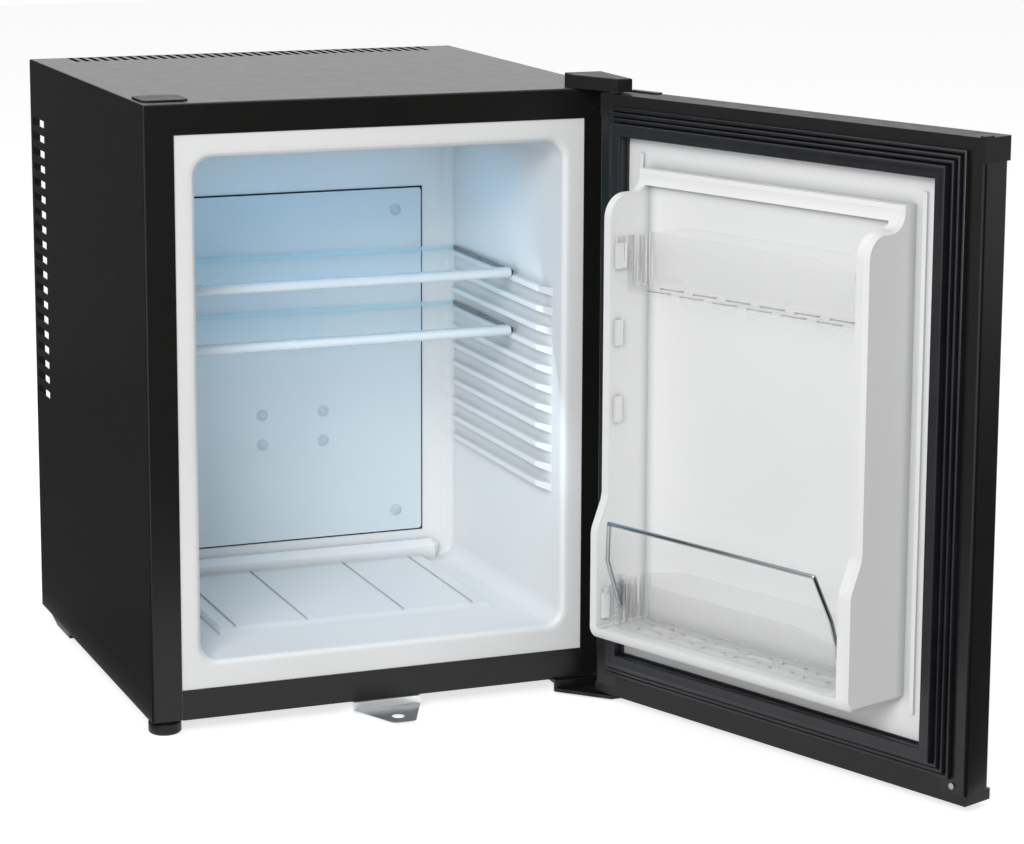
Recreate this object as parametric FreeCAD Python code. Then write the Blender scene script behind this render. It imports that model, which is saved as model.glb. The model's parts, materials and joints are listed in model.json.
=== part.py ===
import FreeCAD, Part
import math
import os
from FreeCAD import Vector

# Hotel minibar fridge with its door open. All sizes are in millimetres.
# Frame: x to the right, y from front to rear, z up. The origin is on the floor, under the cabinet's middle.
# The door is modelled shut, in front of the cabinet, and then swung open about its hinge pins.

# Clearances and cutting
overrun = 3.0
fit_gap = 0.3
shank_gap = 0.1
running_gap = 0.05
panel_seam = 0.5
tolerance = 0.01

# Cabinet shell
cabinet_width = 400.0
cabinet_depth = 386.0
cabinet_height = 503.0
sheet = 1.0
bend_radius = 1.6
frame_width = 25.0
rear_return = 8.0

# Vents
side_vent_count = 19
side_vent_length = 44.0
side_vent_height = 6.3
side_vent_pitch = 13.54
side_vent_rear_margin = 6.0
side_vent_top_drop = 53.7
top_vent_margin = 28.0
top_vent_length = 34.0
top_vent_width = 4.6
top_vent_pitch = 8.9
top_vent_rear_margin = 4.5

# Feet and skids
foot_height = 12.0
foot_diameter = 27.0
foot_neck_diameter = 20.0
foot_neck_height = 3.0
foot_edge = 1.5
foot_sides = 20
foot_front_inset = 14.5
foot_side_inset = 14.0
skid_length = 80.0
skid_width = 24.0
skid_side_inset = 6.0
skid_ramp_length = 34.0
skid_ramp_rise = 7.0

# Cabinet liner
liner_wall = 2.0
flange_side = 18.0
flange_top = 19.5
flange_bottom = 22.5
flange_tuck = 6.0
rear_space = 134.0
liner_corner = 15.0
liner_draft = 4.0
liner_lip = 7.0
liner_back_radius = 10.0
round_steps = 3
rib_count = 11
rib_pitch = 16.8
rib_top_drop = 170.0
rib_proud = 4.5
rib_root_height = 8.0
rib_tip_height = 4.5
rib_front_inset = 16.0
rib_front_run = 22.0
platform_front = 82.0
platform_side_margin = 31.0
platform_rise = 4.5
platform_ramp = 14.0
platform_bevel = 3.0
groove_width = 2.6
groove_depth = 1.6
groove_spacing = 63.0
groove_margin = 15.5
rear_step_depth = 9.0
rear_step_rise = 18.0
rear_step_margin = 14.0
rear_step_bevel = 6.0

# Insulation and back panel
insulation_back = 46.0

# Cold side
plate_side_margin = 31.0
plate_top_margin = 113.0
plate_rise = 76.0
plate_thickness = 2.0
plate_corner = 3.0
fixing_head_diameter = 10.5
fixing_crown_diameter = 7.0
fixing_head_height = 2.4
fixing_rim_height = 1.0
fixing_shank_diameter = 4.0
fastener_sides = 8
turning_sides = 20
fixing_inset_x = 24.5
fixing_inset_z = 19.0
block_width = 76.0
block_height = 46.0
block_rise = 178.5
block_fixing_x = 57.0
block_fixing_z = 27.0

# Hot side
module_size = 40.0
module_thickness = 4.0
sink_base = 8.0
sink_below = 62.0
sink_height = 290.0
fin_count = 19
fin_pitch = 14.0
fin_thickness = 2.0
fin_length = 46.0

# Control box and power inlet
control_width = 168.0
control_height = 92.0
control_depth = 56.0
control_wall = 2.0
control_corner = 3.0
control_slot_count = 9
control_slot_width = 3.0
control_slot_height = 34.0
control_slot_pitch = 8.0
control_slot_x = -36.0
standoff_width = 6.0
standoff_height = 6.0
standoff_inset = 14.0
board_thickness = 1.6
board_margin = 6.0
inlet_x = 48.0
inlet_width = 27.0
inlet_height = 20.0
inlet_depth = 22.0
inlet_flange = 4.0
inlet_flange_thickness = 2.5
inlet_wall = 2.0
inlet_chamfer = 4.5
inlet_recess = 17.0
inlet_pin_width = 4.0
inlet_pin_thickness = 2.0
inlet_pin_length = 12.0
inlet_pin_spread = 7.0
inlet_pin_lift = 2.0

# Lamp in the ceiling
lamp_length = 66.0
lamp_width = 22.0
lamp_base_height = 3.0
lamp_lens_height = 6.0
lamp_lens_inset = 2.0
lamp_lens_round = 3.0
lamp_front = 118.0

# Shelves
shelf_front_margin = 100.0
shelf_rear_gap = 4.0
shelf_side_gap = 2.0
glass_thickness = 4.0
trim_height = 8.4
trim_depth = 11.0
trim_lip = 5.0
trim_round = 2.5
trim_end_gap = 1.0
shelf_rib_steps = (0, 3)

# Door
door_open_angle = 111.0
door_gap = 14.0
door_thickness = 27.0
door_drop = 5.5
door_top_gap = 1.5
door_return = 24.0
door_edge_round = 2.5
cap_top_height = 18.5
cap_bottom_height = 8.0
cap_lip = 4.0
cap_wall = 2.5
cap_round = 2.5
top_lug_length = 32.0
top_lug_start = 8.0
top_lug_depth = 7.0
top_lug_height = 1.2
end_lug_length = 10.0
end_lug_depth = 5.0
end_lug_height = 1.2

# Door gasket
gasket_side = 19.0
gasket_top = 16.0
gasket_bottom = 25.0
gasket_width = 18.0
gasket_base_inset = 2.0
gasket_step = 3.0
gasket_face_width = 8.0
gasket_lip_drop = 2.6
gasket_height_shares = (1 / 3, 1 / 2, 2 / 3)

# Door liner: a tray with deep side walls that step out at the bottom and curl back at the top
tray_side_margin = 61.0
tray_wall = 10.0
tray_low = 66.0
tray_top_margin = 56.0
tray_mid = 57.0
tray_deep = 69.0
tray_rim = 18.0
tray_pan = 14.0
tray_pan_drop = 12.0
tray_floor = 11.0
tray_pan_draft = 1.0
tray_pan_corner = 2.0
tray_low_round = 12.0
tray_ramp_low = 158.0
tray_ramp_high = 184.0
tray_curl_drop = 37.0
tray_curl_outer = 20.0
tray_curl_inner = 12.0
tray_edge_bevel = 3.0
bead_width = 4.0
bead_height = 2.0
bead_gap = 9.0
bead_end = 10.0
tab_proud = 2.5
tab_depth = 7.0
tab_setback = 5.0
tab_height = 21.0
tab_first_drop = 39.5
tab_pitch = 62.5
tab_count = 3
low_tab_rise = 85.0

# Door bins
bin_wall = 2.0
bin_floor = 2.4
bin_front_setback = 4.0
bin_corner = 20.0
bin_dip = 9.0
bin_dip_length = 42.0
upper_bin_height = 51.0
upper_bin_drop = 17.0
lower_bin_height = 45.0
hook_height = 5.0
hook_length = 14.0
bin_slot_margin = 14.0
bin_slot_rows = 2
bin_slot_length = 24.0
bin_slot_width = 6.0
bin_slot_pitch = 36.0
bin_slot_row_pitch = 15.0
bin_slot_corner_share = 0.3

# Bottle bail
bail_wire = 3.6
bail_sides = 8
bail_boss = 7.0
bail_boss_height = 27.0
bail_boss_drop = 2.0
bail_setback = 14.0
bail_straight = 3.0
bail_knee_rise = 62.0
bail_knee_reach = 5.5
bail_top_rise = 100.0
bail_top_reach = 29.0
bail_bend = 8.0

# Hinges
hinge_edge = 7.0
hinge_depth = 13.0
pin_diameter = 8.0
pin_top_length = 15.0
pin_bottom_length = 14.0
bush_wall = 1.5
bush_extra = 2.0
hinge_plate = 2.6
hinge_cover_back = 22.0
hinge_cover_width = 33.0
hinge_cover_side_gap = 1.0
hinge_cover_height = 11.0
hinge_cover_wall = 1.6
hinge_cover_round = 1.2
hinge_tip_reach = 15.0
hinge_tip_width = 13.0
screw_head_diameter = 8.4
screw_head_height = 3.0
screw_shank_diameter = 4.8
screw_setback = 12.0
screw_spacing = 15.0
lower_plate = 3.0
lower_arm_clear = 1.2
lower_riser_gap = 2.0
lower_mount_left = 50.0
lower_mount_right = 28.0
lower_mount_back = 34.0
lower_screw_first = 9.0
lower_screw_spacing = 15.0
blank_width = 38.0
blank_depth = 38.0
blank_front = 14.0
blank_side = 4.0
blank_thickness = 1.5
blank_corner = 5.0
blank_peg_diameter = 5.0

# Lock
lock_offset = 16.0
striker_thickness = 2.0
striker_root_width = 58.0
striker_tip_width = 19.0
striker_reach = 47.0
striker_back = 24.0
striker_joggle = 3.0
striker_hole_width = 10.5
striker_clear = 1.3
striker_screw_spacing = 34.0
striker_screw_back = 12.0
striker_tip_round = 6.0
bolt_width = 6.0
bolt_length = 30.0
bolt_chamfer = 0.9
lock_housing_width = 24.0
lock_housing_wall = 2.5
barrel_diameter = 15.0
barrel_rise = 44.0
barrel_head_diameter = 19.0
barrel_head_height = 2.5
barrel_inner_length = 9.0
keyway_width = 2.2
keyway_length = 9.0
keyway_depth = 6.0
cap_screw_diameter = 5.2
cap_screw_height = 1.2
cap_screw_inset = 13.0
cap_screw_rise = 13.5
cap_screw_shank = 3.0

# Places worked out from the sizes above
half_width = cabinet_width / 2
front = -cabinet_depth / 2
rear = cabinet_depth / 2
base = foot_height
top = base + cabinet_height
top_vent_count = int((cabinet_width - 2 * top_vent_margin) / top_vent_pitch)
opening_half = half_width - frame_width - flange_side
opening_low = base + frame_width + flange_bottom
opening_high = top - frame_width - flange_top
liner_front = front + sheet
liner_depth = cabinet_depth - rear_space
liner_back = front + liner_depth
cavity_half = opening_half - liner_draft
back_front = liner_back + liner_wall + insulation_back
back_rear = back_front + sheet
rib_tip = cavity_half - rib_proud
rib_first_rise = cabinet_height - rib_top_drop
rib_first = base + rib_first_rise
groove_outer = cavity_half - platform_side_margin - groove_margin
groove_inner = groove_outer - groove_spacing
plate_width = 2 * (cavity_half - plate_side_margin)
plate_height = cabinet_height - plate_rise - plate_top_margin
plate_low = base + plate_rise
plate_front = liner_back - plate_thickness
block_mid = base + block_rise
hot_front = back_rear + module_thickness
door_inner = front - door_gap
door_outer = door_inner - door_thickness
door_low = base - door_drop
door_high = top - door_top_gap
hinge_x = half_width - hinge_edge
hinge_y = door_inner - hinge_depth
bush_radius = pin_diameter / 2 + running_gap + bush_wall
tray_half = half_width - tray_side_margin
tray_inner_half = tray_half - tray_wall
tray_top = cabinet_height - tray_top_margin
tray_pan_top = tray_top - tray_pan_drop
tray_curl_start = tray_top - tray_curl_drop
tab_first_rise = tray_curl_start - tab_first_drop
upper_bin_rise = tab_first_rise - upper_bin_drop
bin_half = tray_inner_half - tray_pan_draft - tab_proud - fit_gap
bin_slot_count = int(2 * (bin_half - bin_slot_margin) / bin_slot_pitch)
tray_floor_z = base + tray_low + tray_floor
lower_bin_z = tray_floor_z + fit_gap
bin_back = door_inner + tray_pan + fit_gap
shelf_depth = liner_depth - shelf_front_margin
shelf_rear = liner_back - plate_thickness - fixing_head_height - shelf_rear_gap
shelf_front = shelf_rear - shelf_depth
lock_y = door_inner - lock_offset
striker_top = door_low - striker_clear
UP = Vector(0, 0, 1)
RIGHT = Vector(1, 0, 0)
BACK = Vector(0, 1, 0)


# Shape helpers

def box(x0, x1, y0, y1, z0, z1):
    return Part.makeBox(x1 - x0, y1 - y0, z1 - z0, Vector(x0, y0, z0))


def post(diameter, x, y, z0, z1):
    """Upright round bar."""
    return Part.makeCylinder(diameter / 2, z1 - z0, Vector(x, y, z0), UP)


def fuse(shapes):
    return shapes[0].multiFuse(shapes[1:]).removeSplitter()


def mirrored(shape):
    return shape.mirror(Vector(0, 0, 0), RIGHT)


def plan_prism(points, z0, z1):
    """Level outline, given as (x, y), raised from z0 to z1."""
    corners = [Vector(x, y, z0) for x, y in points]
    return Part.Face(Part.makePolygon(corners + corners[:1])).extrude(Vector(0, 0, z1 - z0))


def side_prism(points, x0, x1):
    """Outline in the plane of y and z, drawn out from x0 to x1."""
    corners = [Vector(x0, y, z) for y, z in points]
    return Part.Face(Part.makePolygon(corners + corners[:1])).extrude(Vector(x1 - x0, 0, 0))


def front_prism(points, y0, y1):
    """Outline in the plane of x and z, drawn out from y0 to y1."""
    corners = [Vector(x, y0, z) for x, z in points]
    return Part.Face(Part.makePolygon(corners + corners[:1])).extrude(Vector(0, y1 - y0, 0))


def rounded_rect(half, z0, z1, radius, y):
    """Upright rectangle with round corners, centred on x = 0."""
    centres = [(radius - half, z0 + radius), (half - radius, z0 + radius),
               (half - radius, z1 - radius), (radius - half, z1 - radius)]
    arcs = []
    for index, (x, z) in enumerate(centres):
        start = math.pi * (1 + index / 2)
        angles = (start, start + math.pi / 4, start + math.pi / 2)
        arcs.append([Vector(x + radius * math.cos(a), y, z + radius * math.sin(a)) for a in angles])
    edges = []
    for arc, following in zip(arcs, arcs[1:] + arcs[:1]):
        edges.append(Part.Arc(*arc).toShape())
        edges.append(Part.LineSegment(arc[2], following[0]).toShape())
    return Part.Wire(edges)


def rect_yz(x, y0, y1, z0, z1):
    corners = [Vector(x, y0, z0), Vector(x, y1, z0), Vector(x, y1, z1), Vector(x, y0, z1)]
    return Part.makePolygon(corners + corners[:1])


def rounded_path(points, radius):
    """Straight runs joined by tangent arcs of one radius."""
    edges = []
    start = points[0]
    for before, corner, after in zip(points, points[1:], points[2:]):
        towards = (before - corner).normalize()
        onwards = (after - corner).normalize()
        half_angle = towards.getAngle(onwards) / 2
        reach = radius / math.tan(half_angle)
        entry = corner + towards * reach
        leave = corner + onwards * reach
        centre = corner + (towards + onwards).normalize() * (radius / math.sin(half_angle))
        middle = centre + (corner - centre).normalize() * radius
        edges.append(Part.LineSegment(start, entry).toShape())
        edges.append(Part.Arc(entry, middle, leave).toShape())
        start = leave
    edges.append(Part.LineSegment(start, points[-1]).toShape())
    return Part.Wire(edges)


def ring(diameter, sides):
    """Corners of a round piece of few faces, about its own middle."""
    angles = [2 * math.pi * index / sides for index in range(sides)]
    return [(diameter / 2 * math.cos(a), diameter / 2 * math.sin(a)) for a in angles]


def bolt(diameter, x, y, z0, z1):
    """Upright fastener, or its hole, with few faces."""
    return plan_prism([(x + dx, y + dy) for dx, dy in ring(diameter, fastener_sides)], z0, z1)


def pin_bar(diameter, z0, z1):
    """Many-sided bar on the hinge line."""
    return plan_prism([(hinge_x + dx, hinge_y + dy) for dx, dy in ring(diameter, turning_sides)], z0, z1)


def barrel_bar(diameter, y0, y1):
    """Many-sided bar on the lock barrel's line."""
    return front_prism([(dx, barrel_z + dz) for dx, dz in ring(diameter, turning_sides)], y0, y1)


def turning_bore(diameter):
    """Size across the corners of a many-sided bore that a bar of this diameter turns in."""
    return (diameter + 2 * running_gap) / math.cos(math.pi / turning_sides)


def stud(diameter, x, y0, y1, z):
    """Fastener that runs from front to rear, or its hole, with few faces."""
    return front_prism([(x + dx, z + dz) for dx, dz in ring(diameter, fastener_sides)], y0, y1)


def wire_run(points, diameter, radius, sides):
    """Bent wire that starts upright."""
    path = rounded_path(points, radius)
    corners = [points[0] + Vector(dx, dy, 0) for dx, dy in ring(diameter, sides)]
    section = Part.makePolygon(corners + corners[:1])
    return path.makePipeShell([section], True, False)


def slot(x, y, length, width, z0, z1):
    """Slot along x whose corners are cut off."""
    half = length / 2
    side = width / 2
    corner = width * bin_slot_corner_share
    outline = [(-half, corner - side), (corner - half, -side), (half - corner, -side), (half, corner - side),
               (half, side - corner), (half - corner, side), (corner - half, side), (-half, side - corner)]
    return plan_prism([(x + dx, y + dy) for dx, dy in outline], z0, z1)


def near(value, target):
    return abs(value - target) < tolerance


def rounded(shape, radius, test):
    """Round every edge whose two ends both pass the test."""
    edges = [edge for edge in shape.Edges if all(test(vertex.Point) for vertex in edge.Vertexes)]
    return shape.makeFillet(radius, edges)


def bevelled(shape, size, test):
    """Chamfer every edge whose two ends both pass the test."""
    edges = [edge for edge in shape.Edges if all(test(vertex.Point) for vertex in edge.Vertexes)]
    return shape.makeChamfer(size, edges)


def edges_along(shape, axis, test):
    """Straight edges that run along an axis and whose two ends pass the test."""
    edges = []
    for edge in shape.Edges:
        ends = [vertex.Point for vertex in edge.Vertexes]
        if len(ends) == 2 and (ends[1] - ends[0]).cross(axis).Length < tolerance and all(map(test, ends)):
            edges.append(edge)
    return edges


def rounded_along(shape, radius, axis, test=lambda point: True):
    return shape.makeFillet(radius, edges_along(shape, axis, test))


def bevelled_along(shape, size, axis, test=lambda point: True):
    return shape.makeChamfer(size, edges_along(shape, axis, test))


# Cabinet shell and panels

def make_outer_shell():
    """One sheet folded over both sides and the top, with front pillars, a top rail and rear returns."""
    block = box(-half_width, half_width, front, rear, base, top)
    block = rounded(block, bend_radius, lambda p: near(abs(p.x), half_width) and near(p.y, front)
                    or near(p.z, top))
    inside = box(sheet - half_width, half_width - sheet, front + sheet, rear - sheet,
                 base - overrun, top - sheet)
    pillar = half_width - frame_width
    mouth = box(-pillar, pillar, front - overrun, front + sheet + overrun, base - overrun, top - frame_width)
    back = half_width - rear_return
    outlet = box(-back, back, rear - sheet - overrun, rear + overrun, base - overrun, top - rear_return)
    vents = []
    vent_rear = rear - side_vent_rear_margin
    for index in range(side_vent_count):
        middle = top - side_vent_top_drop - index * side_vent_pitch
        vents.append(box(-half_width - overrun, half_width + overrun, vent_rear - side_vent_length, vent_rear,
                         middle - side_vent_height / 2, middle + side_vent_height / 2))
    vent_rear = rear - top_vent_rear_margin
    for index in range(top_vent_count):
        middle = (index - (top_vent_count - 1) / 2) * top_vent_pitch
        vents.append(box(middle - top_vent_width / 2, middle + top_vent_width / 2,
                         vent_rear - top_vent_length, vent_rear, top - sheet - overrun, top + overrun))
    return block.cut([inside, mouth, outlet] + vents + hinge_screw_holes() + [blank_peg()])


def make_bottom_panel():
    """Floor sheet with the front rail and a rear upstand."""
    floor = box(sheet - half_width, half_width - sheet, front + sheet, rear - sheet, base, base + sheet)
    rail_half = half_width - frame_width - panel_seam
    rail = box(-rail_half, rail_half, front, front + sheet, base, base + frame_width)
    back_half = half_width - rear_return - panel_seam
    upstand = box(-back_half, back_half, rear - sheet, rear, base, base + rear_return)
    holes = lower_screw_holes() + striker_screw_holes()
    return fuse([floor, rail, upstand]).cut(holes)


def make_back_panel():
    """Sheet that closes the foamed body, with a hole for the cold block."""
    panel = box(sheet - half_width, half_width - sheet, back_front, back_rear, base + sheet, top - sheet)
    return panel.cut(cold_block_body())


# Cabinet liner and foam

def quarter_round(radius):
    """Points on a quarter round as (reach, drop), from flat to upright."""
    angles = [math.pi / 2 * step / round_steps for step in range(round_steps + 1)]
    return [(radius * math.sin(a), radius * (1 - math.cos(a))) for a in angles]


def cavity():
    """The food space: a flared lip, walls that draw in towards the back, and a rounded back edge."""
    sections = [(liner_front + drop, liner_lip - reach) for reach, drop in quarter_round(liner_lip)]
    back = liner_back - liner_back_radius
    sections += [(back + reach, -drop) for reach, drop in quarter_round(liner_back_radius)]
    wires = []
    for y, flare in sections:
        half = opening_half - liner_draft * (y - liner_front) / (liner_back - liner_front) + flare
        wires.append(rounded_rect(half, opening_low - flare, opening_high + flare, liner_corner + flare, y))
    mouth = Part.Face(wires[0]).extrude(Vector(0, -overrun, 0))
    return fuse([Part.makeLoft(wires, True, True), mouth])


def liner_envelope():
    """Everything the liner takes up, its food space included."""
    reach = half_width - frame_width + flange_tuck
    flange = box(-reach, reach, liner_front, liner_front + liner_wall,
                 base + frame_width - flange_tuck, top - frame_width + flange_tuck)
    grow = liner_lip + liner_wall
    rim = box(-opening_half - grow, opening_half + grow, liner_front, liner_front + grow,
              opening_low - grow, opening_high + grow)
    half = opening_half + liner_wall
    body = box(-half, half, liner_front, liner_back + liner_wall, opening_low - liner_wall,
               opening_high + liner_wall)
    return fuse([flange, rim, body])


def shelf_ribs():
    """Ledges on both side walls, flat on top, that fade out towards the front."""
    ribs = []
    start = liner_front + rib_front_inset
    end = liner_back - liner_back_radius
    for index in range(rib_count):
        level = rib_first - index * rib_pitch
        root = rect_yz(opening_half + liner_wall, start, end, level - rib_root_height, level)
        tip = rect_yz(rib_tip, start + rib_front_run, end, level - rib_tip_height, level)
        rib = Part.makeLoft([root, tip], True, True)
        ribs += [rib, mirrored(rib)]
    return ribs


def floor_details():
    """Raised floor with drain grooves, and the step along the back wall."""
    half = cavity_half - platform_side_margin
    level = opening_low + platform_rise
    start, end, under = front + platform_front, liner_back - rear_step_depth, opening_low - liner_wall
    toe = start - platform_ramp
    platform = side_prism([(toe, under), (toe, opening_low), (start, level), (end, level), (end, under)],
                          -half, half)
    platform = bevelled_along(platform, platform_bevel, BACK, lambda p: near(p.z, level))
    grooves = []
    for x in (-groove_outer, -groove_inner, groove_inner, groove_outer):
        grooves.append(box(x - groove_width / 2, x + groove_width / 2, toe, liner_back + overrun,
                           level - groove_depth, level + overrun))
    step_half = cavity_half - rear_step_margin
    step_top = opening_low + rear_step_rise
    step = box(-step_half, step_half, end, liner_back + liner_wall, under, step_top)
    step = bevelled_along(step, rear_step_bevel, UP, lambda p: near(p.y, end))
    step = bevelled(step, rear_step_bevel, lambda p: near(p.z, step_top) and p.y < liner_back)
    return [platform.cut(grooves), step]


def make_liner(envelope):
    shell = envelope.cut(cavity())
    shell = fuse([shell] + shelf_ribs() + floor_details())
    return shell.cut([stud(fixing_shank_diameter + shank_gap, x, liner_back - overrun,
                           liner_back + liner_wall + overrun, z) for x, z in fixing_places()])


def make_insulation(envelope):
    foam = box(sheet - half_width, half_width - sheet, front + sheet, back_front, base + sheet, top - sheet)
    return foam.cut([envelope, cold_block_body()])


# Cooling plate and its fixings

def fixing_places():
    """Four at the plate's corners and four on the cold block, as (x, z)."""
    corner_x = plate_width / 2 - fixing_inset_x
    places = []
    for side in (-1, 1):
        places.append((side * corner_x, plate_low + fixing_inset_z))
        places.append((side * corner_x, plate_low + plate_height - fixing_inset_z))
        places.append((side * block_fixing_x / 2, block_mid - block_fixing_z / 2))
        places.append((side * block_fixing_x / 2, block_mid + block_fixing_z / 2))
    return places


def make_cooling_plate():
    half = plate_width / 2
    plate = box(-half, half, plate_front, liner_back, plate_low, plate_low + plate_height)
    plate = rounded_along(plate, plate_corner, BACK)
    holes = [stud(fixing_shank_diameter + shank_gap, x, plate_front - overrun, liner_back + overrun, z)
             for x, z in fixing_places()]
    return plate.cut(holes)


def make_plate_fixings():
    """Round-headed studs that hold the plate to the back wall."""
    studs = []
    levels = ((plate_front, fixing_head_diameter), (plate_front - fixing_rim_height, fixing_head_diameter),
              (plate_front - fixing_head_height, fixing_crown_diameter))
    for x, z in fixing_places():
        wires = []
        for y, diameter in levels:
            corners = [Vector(x + dx, y, z + dz) for dx, dz in ring(diameter, fastener_sides)]
            wires.append(Part.makePolygon(corners + corners[:1]))
        head = Part.makeLoft(wires, True, True)
        studs.append(fuse([head, stud(fixing_shank_diameter, x, plate_front, liner_back + liner_wall, z)]))
    return Part.makeCompound(studs)


def cold_block_body():
    return box(-block_width / 2, block_width / 2, liner_back + liner_wall, back_rear,
               block_mid - block_height / 2, block_mid + block_height / 2)


# Hot side in the open rear space

def make_module():
    half = module_size / 2
    return box(-half, half, back_rear, hot_front, block_mid - half, block_mid + half)


def make_heat_sink():
    """Extruded plate with upright fins, so that warm air rises between them."""
    half = (fin_count - 1) * fin_pitch / 2 + fin_thickness / 2
    root = hot_front + sink_base
    outline = [(half, hot_front), (-half, hot_front)]
    for index in range(fin_count):
        x = (index - (fin_count - 1) / 2) * fin_pitch
        left = x - fin_thickness / 2
        right = x + fin_thickness / 2
        outline += [(left, root), (left, root + fin_length), (right, root + fin_length), (right, root)]
    outline = [outline[0], outline[1]] + outline[3:-1]
    low = block_mid - sink_below
    return plan_prism(outline, low, low + sink_height)


# Control box

control_low = base + sheet
control_high = control_low + control_height
control_rear = back_rear + control_depth
control_half = control_width / 2
inlet_z = control_low + control_height / 2


def standoff_places():
    reach = control_half - standoff_inset
    return [(side * reach, z) for side in (-1, 1)
            for z in (control_low + standoff_inset, control_high - standoff_inset)]


def make_control_box():
    """Open tray against the back panel, with posts for the board."""
    body = box(-control_half, control_half, back_rear, control_rear - control_wall, control_low, control_high)
    hollow = box(control_wall - control_half, control_half - control_wall, back_rear + control_wall,
                 control_rear, control_low + control_wall, control_high - control_wall)
    side = standoff_width / 2
    tip = back_rear + control_wall + standoff_height
    posts = [box(x - side, x + side, back_rear, tip, z - side, z + side)
             for x, z in standoff_places()]
    return fuse([body.cut(hollow)] + posts)


def make_circuit_board():
    margin = control_wall + board_margin
    y = back_rear + control_wall + standoff_height
    return box(margin - control_half, control_half - margin, y, y + board_thickness,
               control_low + margin, control_high - margin)


def inlet_outline(grow):
    """Inlet's six-sided outline, with the two top corners cut off, as (x, z)."""
    half = inlet_width / 2 + grow
    low = inlet_z - inlet_height / 2 - grow
    high = inlet_z + inlet_height / 2 + grow
    return [(inlet_x - half, low), (inlet_x + half, low), (inlet_x + half, high - inlet_chamfer),
            (inlet_x + half - inlet_chamfer, high), (inlet_x - half + inlet_chamfer, high),
            (inlet_x - half, high - inlet_chamfer)]


def make_control_cover():
    """Lid with air slots and the inlet's cut-out."""
    lid = box(-control_half, control_half, control_rear - control_wall, control_rear,
              control_low, control_high)
    lid = rounded_along(lid, control_corner, BACK)
    cuts = [front_prism(inlet_outline(0), control_rear - control_wall - overrun, control_rear + overrun)]
    for index in range(control_slot_count):
        x = control_slot_x + (index - (control_slot_count - 1) / 2) * control_slot_pitch
        cuts.append(box(x - control_slot_width / 2, x + control_slot_width / 2,
                        control_rear - control_wall - overrun, control_rear + overrun,
                        inlet_z - control_slot_height / 2, inlet_z + control_slot_height / 2))
    return lid.cut(cuts)


def make_power_inlet():
    """Appliance inlet: flanged body with a recess and three flat pins."""
    mouth = control_rear + inlet_flange_thickness
    body = front_prism(inlet_outline(0), mouth - inlet_depth, mouth)
    flange = front_prism(inlet_outline(inlet_flange), control_rear, mouth)
    recess = front_prism(inlet_outline(-inlet_wall), mouth - inlet_recess, mouth + overrun)
    pins = []
    places = ((-inlet_pin_spread, -inlet_pin_lift), (0, inlet_pin_lift), (inlet_pin_spread, -inlet_pin_lift))
    for x, lift in places:
        pins.append(box(inlet_x + x - inlet_pin_thickness / 2, inlet_x + x + inlet_pin_thickness / 2,
                        mouth - inlet_recess, mouth - inlet_recess + inlet_pin_length,
                        inlet_z + lift - inlet_pin_width / 2, inlet_z + lift + inlet_pin_width / 2))
    return fuse([fuse([body, flange]).cut(recess)] + pins)


# Lamp in the ceiling

def make_lamp():
    y0 = front + lamp_front
    low = opening_high - lamp_base_height
    base_plate = box(-lamp_length / 2, lamp_length / 2, y0, y0 + lamp_width, low, opening_high)
    half = lamp_length / 2 - lamp_lens_inset
    lens = box(-half, half, y0 + lamp_lens_inset, y0 + lamp_width - lamp_lens_inset,
               low - lamp_lens_height, low)
    lens = rounded(lens, lamp_lens_round, lambda p: near(p.z, low - lamp_lens_height))
    return base_plate, lens


# Feet and skids

def make_front_feet():
    """Turned feet with a narrower neck under the floor sheet."""
    shoulder = base - foot_neck_height
    levels = ((0, foot_diameter - 2 * foot_edge), (foot_edge, foot_diameter), (shoulder, foot_diameter))
    wires = []
    for z, diameter in levels:
        corners = [Vector(x, y, z) for x, y in ring(diameter, foot_sides)]
        wires.append(Part.makePolygon(corners + corners[:1]))
    neck = plan_prism(ring(foot_neck_diameter, foot_sides), shoulder, base)
    foot = fuse([Part.makeLoft(wires, True, True), neck])
    feet = []
    for side in (-1, 1):
        copy = foot.copy()
        copy.translate(Vector(side * (half_width - foot_side_inset), front + foot_front_inset, 0))
        feet.append(copy)
    return Part.makeCompound(feet)


def make_rear_skids():
    """Runners under the rear corners, ramped up at the back so that the cabinet tips and slides."""
    start = rear - skid_length
    profile = [(start, 0), (rear - skid_ramp_length, 0), (rear, skid_ramp_rise), (rear, base), (start, base)]
    inner = half_width - skid_side_inset - skid_width
    skid = side_prism(profile, inner, half_width - skid_side_inset)
    return Part.makeCompound([skid, mirrored(skid)])


# Hinges

def hinge_outline(inset):
    """Top hinge seen from above: wide on the cabinet, narrow at the pin, as (x, y)."""
    right = half_width - hinge_cover_side_gap - inset
    left = half_width - hinge_cover_side_gap - hinge_cover_width + inset
    tip = hinge_y - hinge_tip_reach + inset
    back = front + hinge_cover_back - inset
    tip_left = right - hinge_tip_width + inset
    return [(left, back), (left, front), (tip_left, tip), (right, tip), (right, back)]


def hinge_screw_places():
    middle = half_width - hinge_cover_side_gap - hinge_cover_width / 2
    return [(middle + side * screw_spacing / 2, front + screw_setback) for side in (-1, 1)]


def hinge_screw_holes():
    return [bolt(screw_shank_diameter + shank_gap, x, y, top - sheet - overrun, top + hinge_plate + overrun)
            for x, y in hinge_screw_places()]


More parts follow.
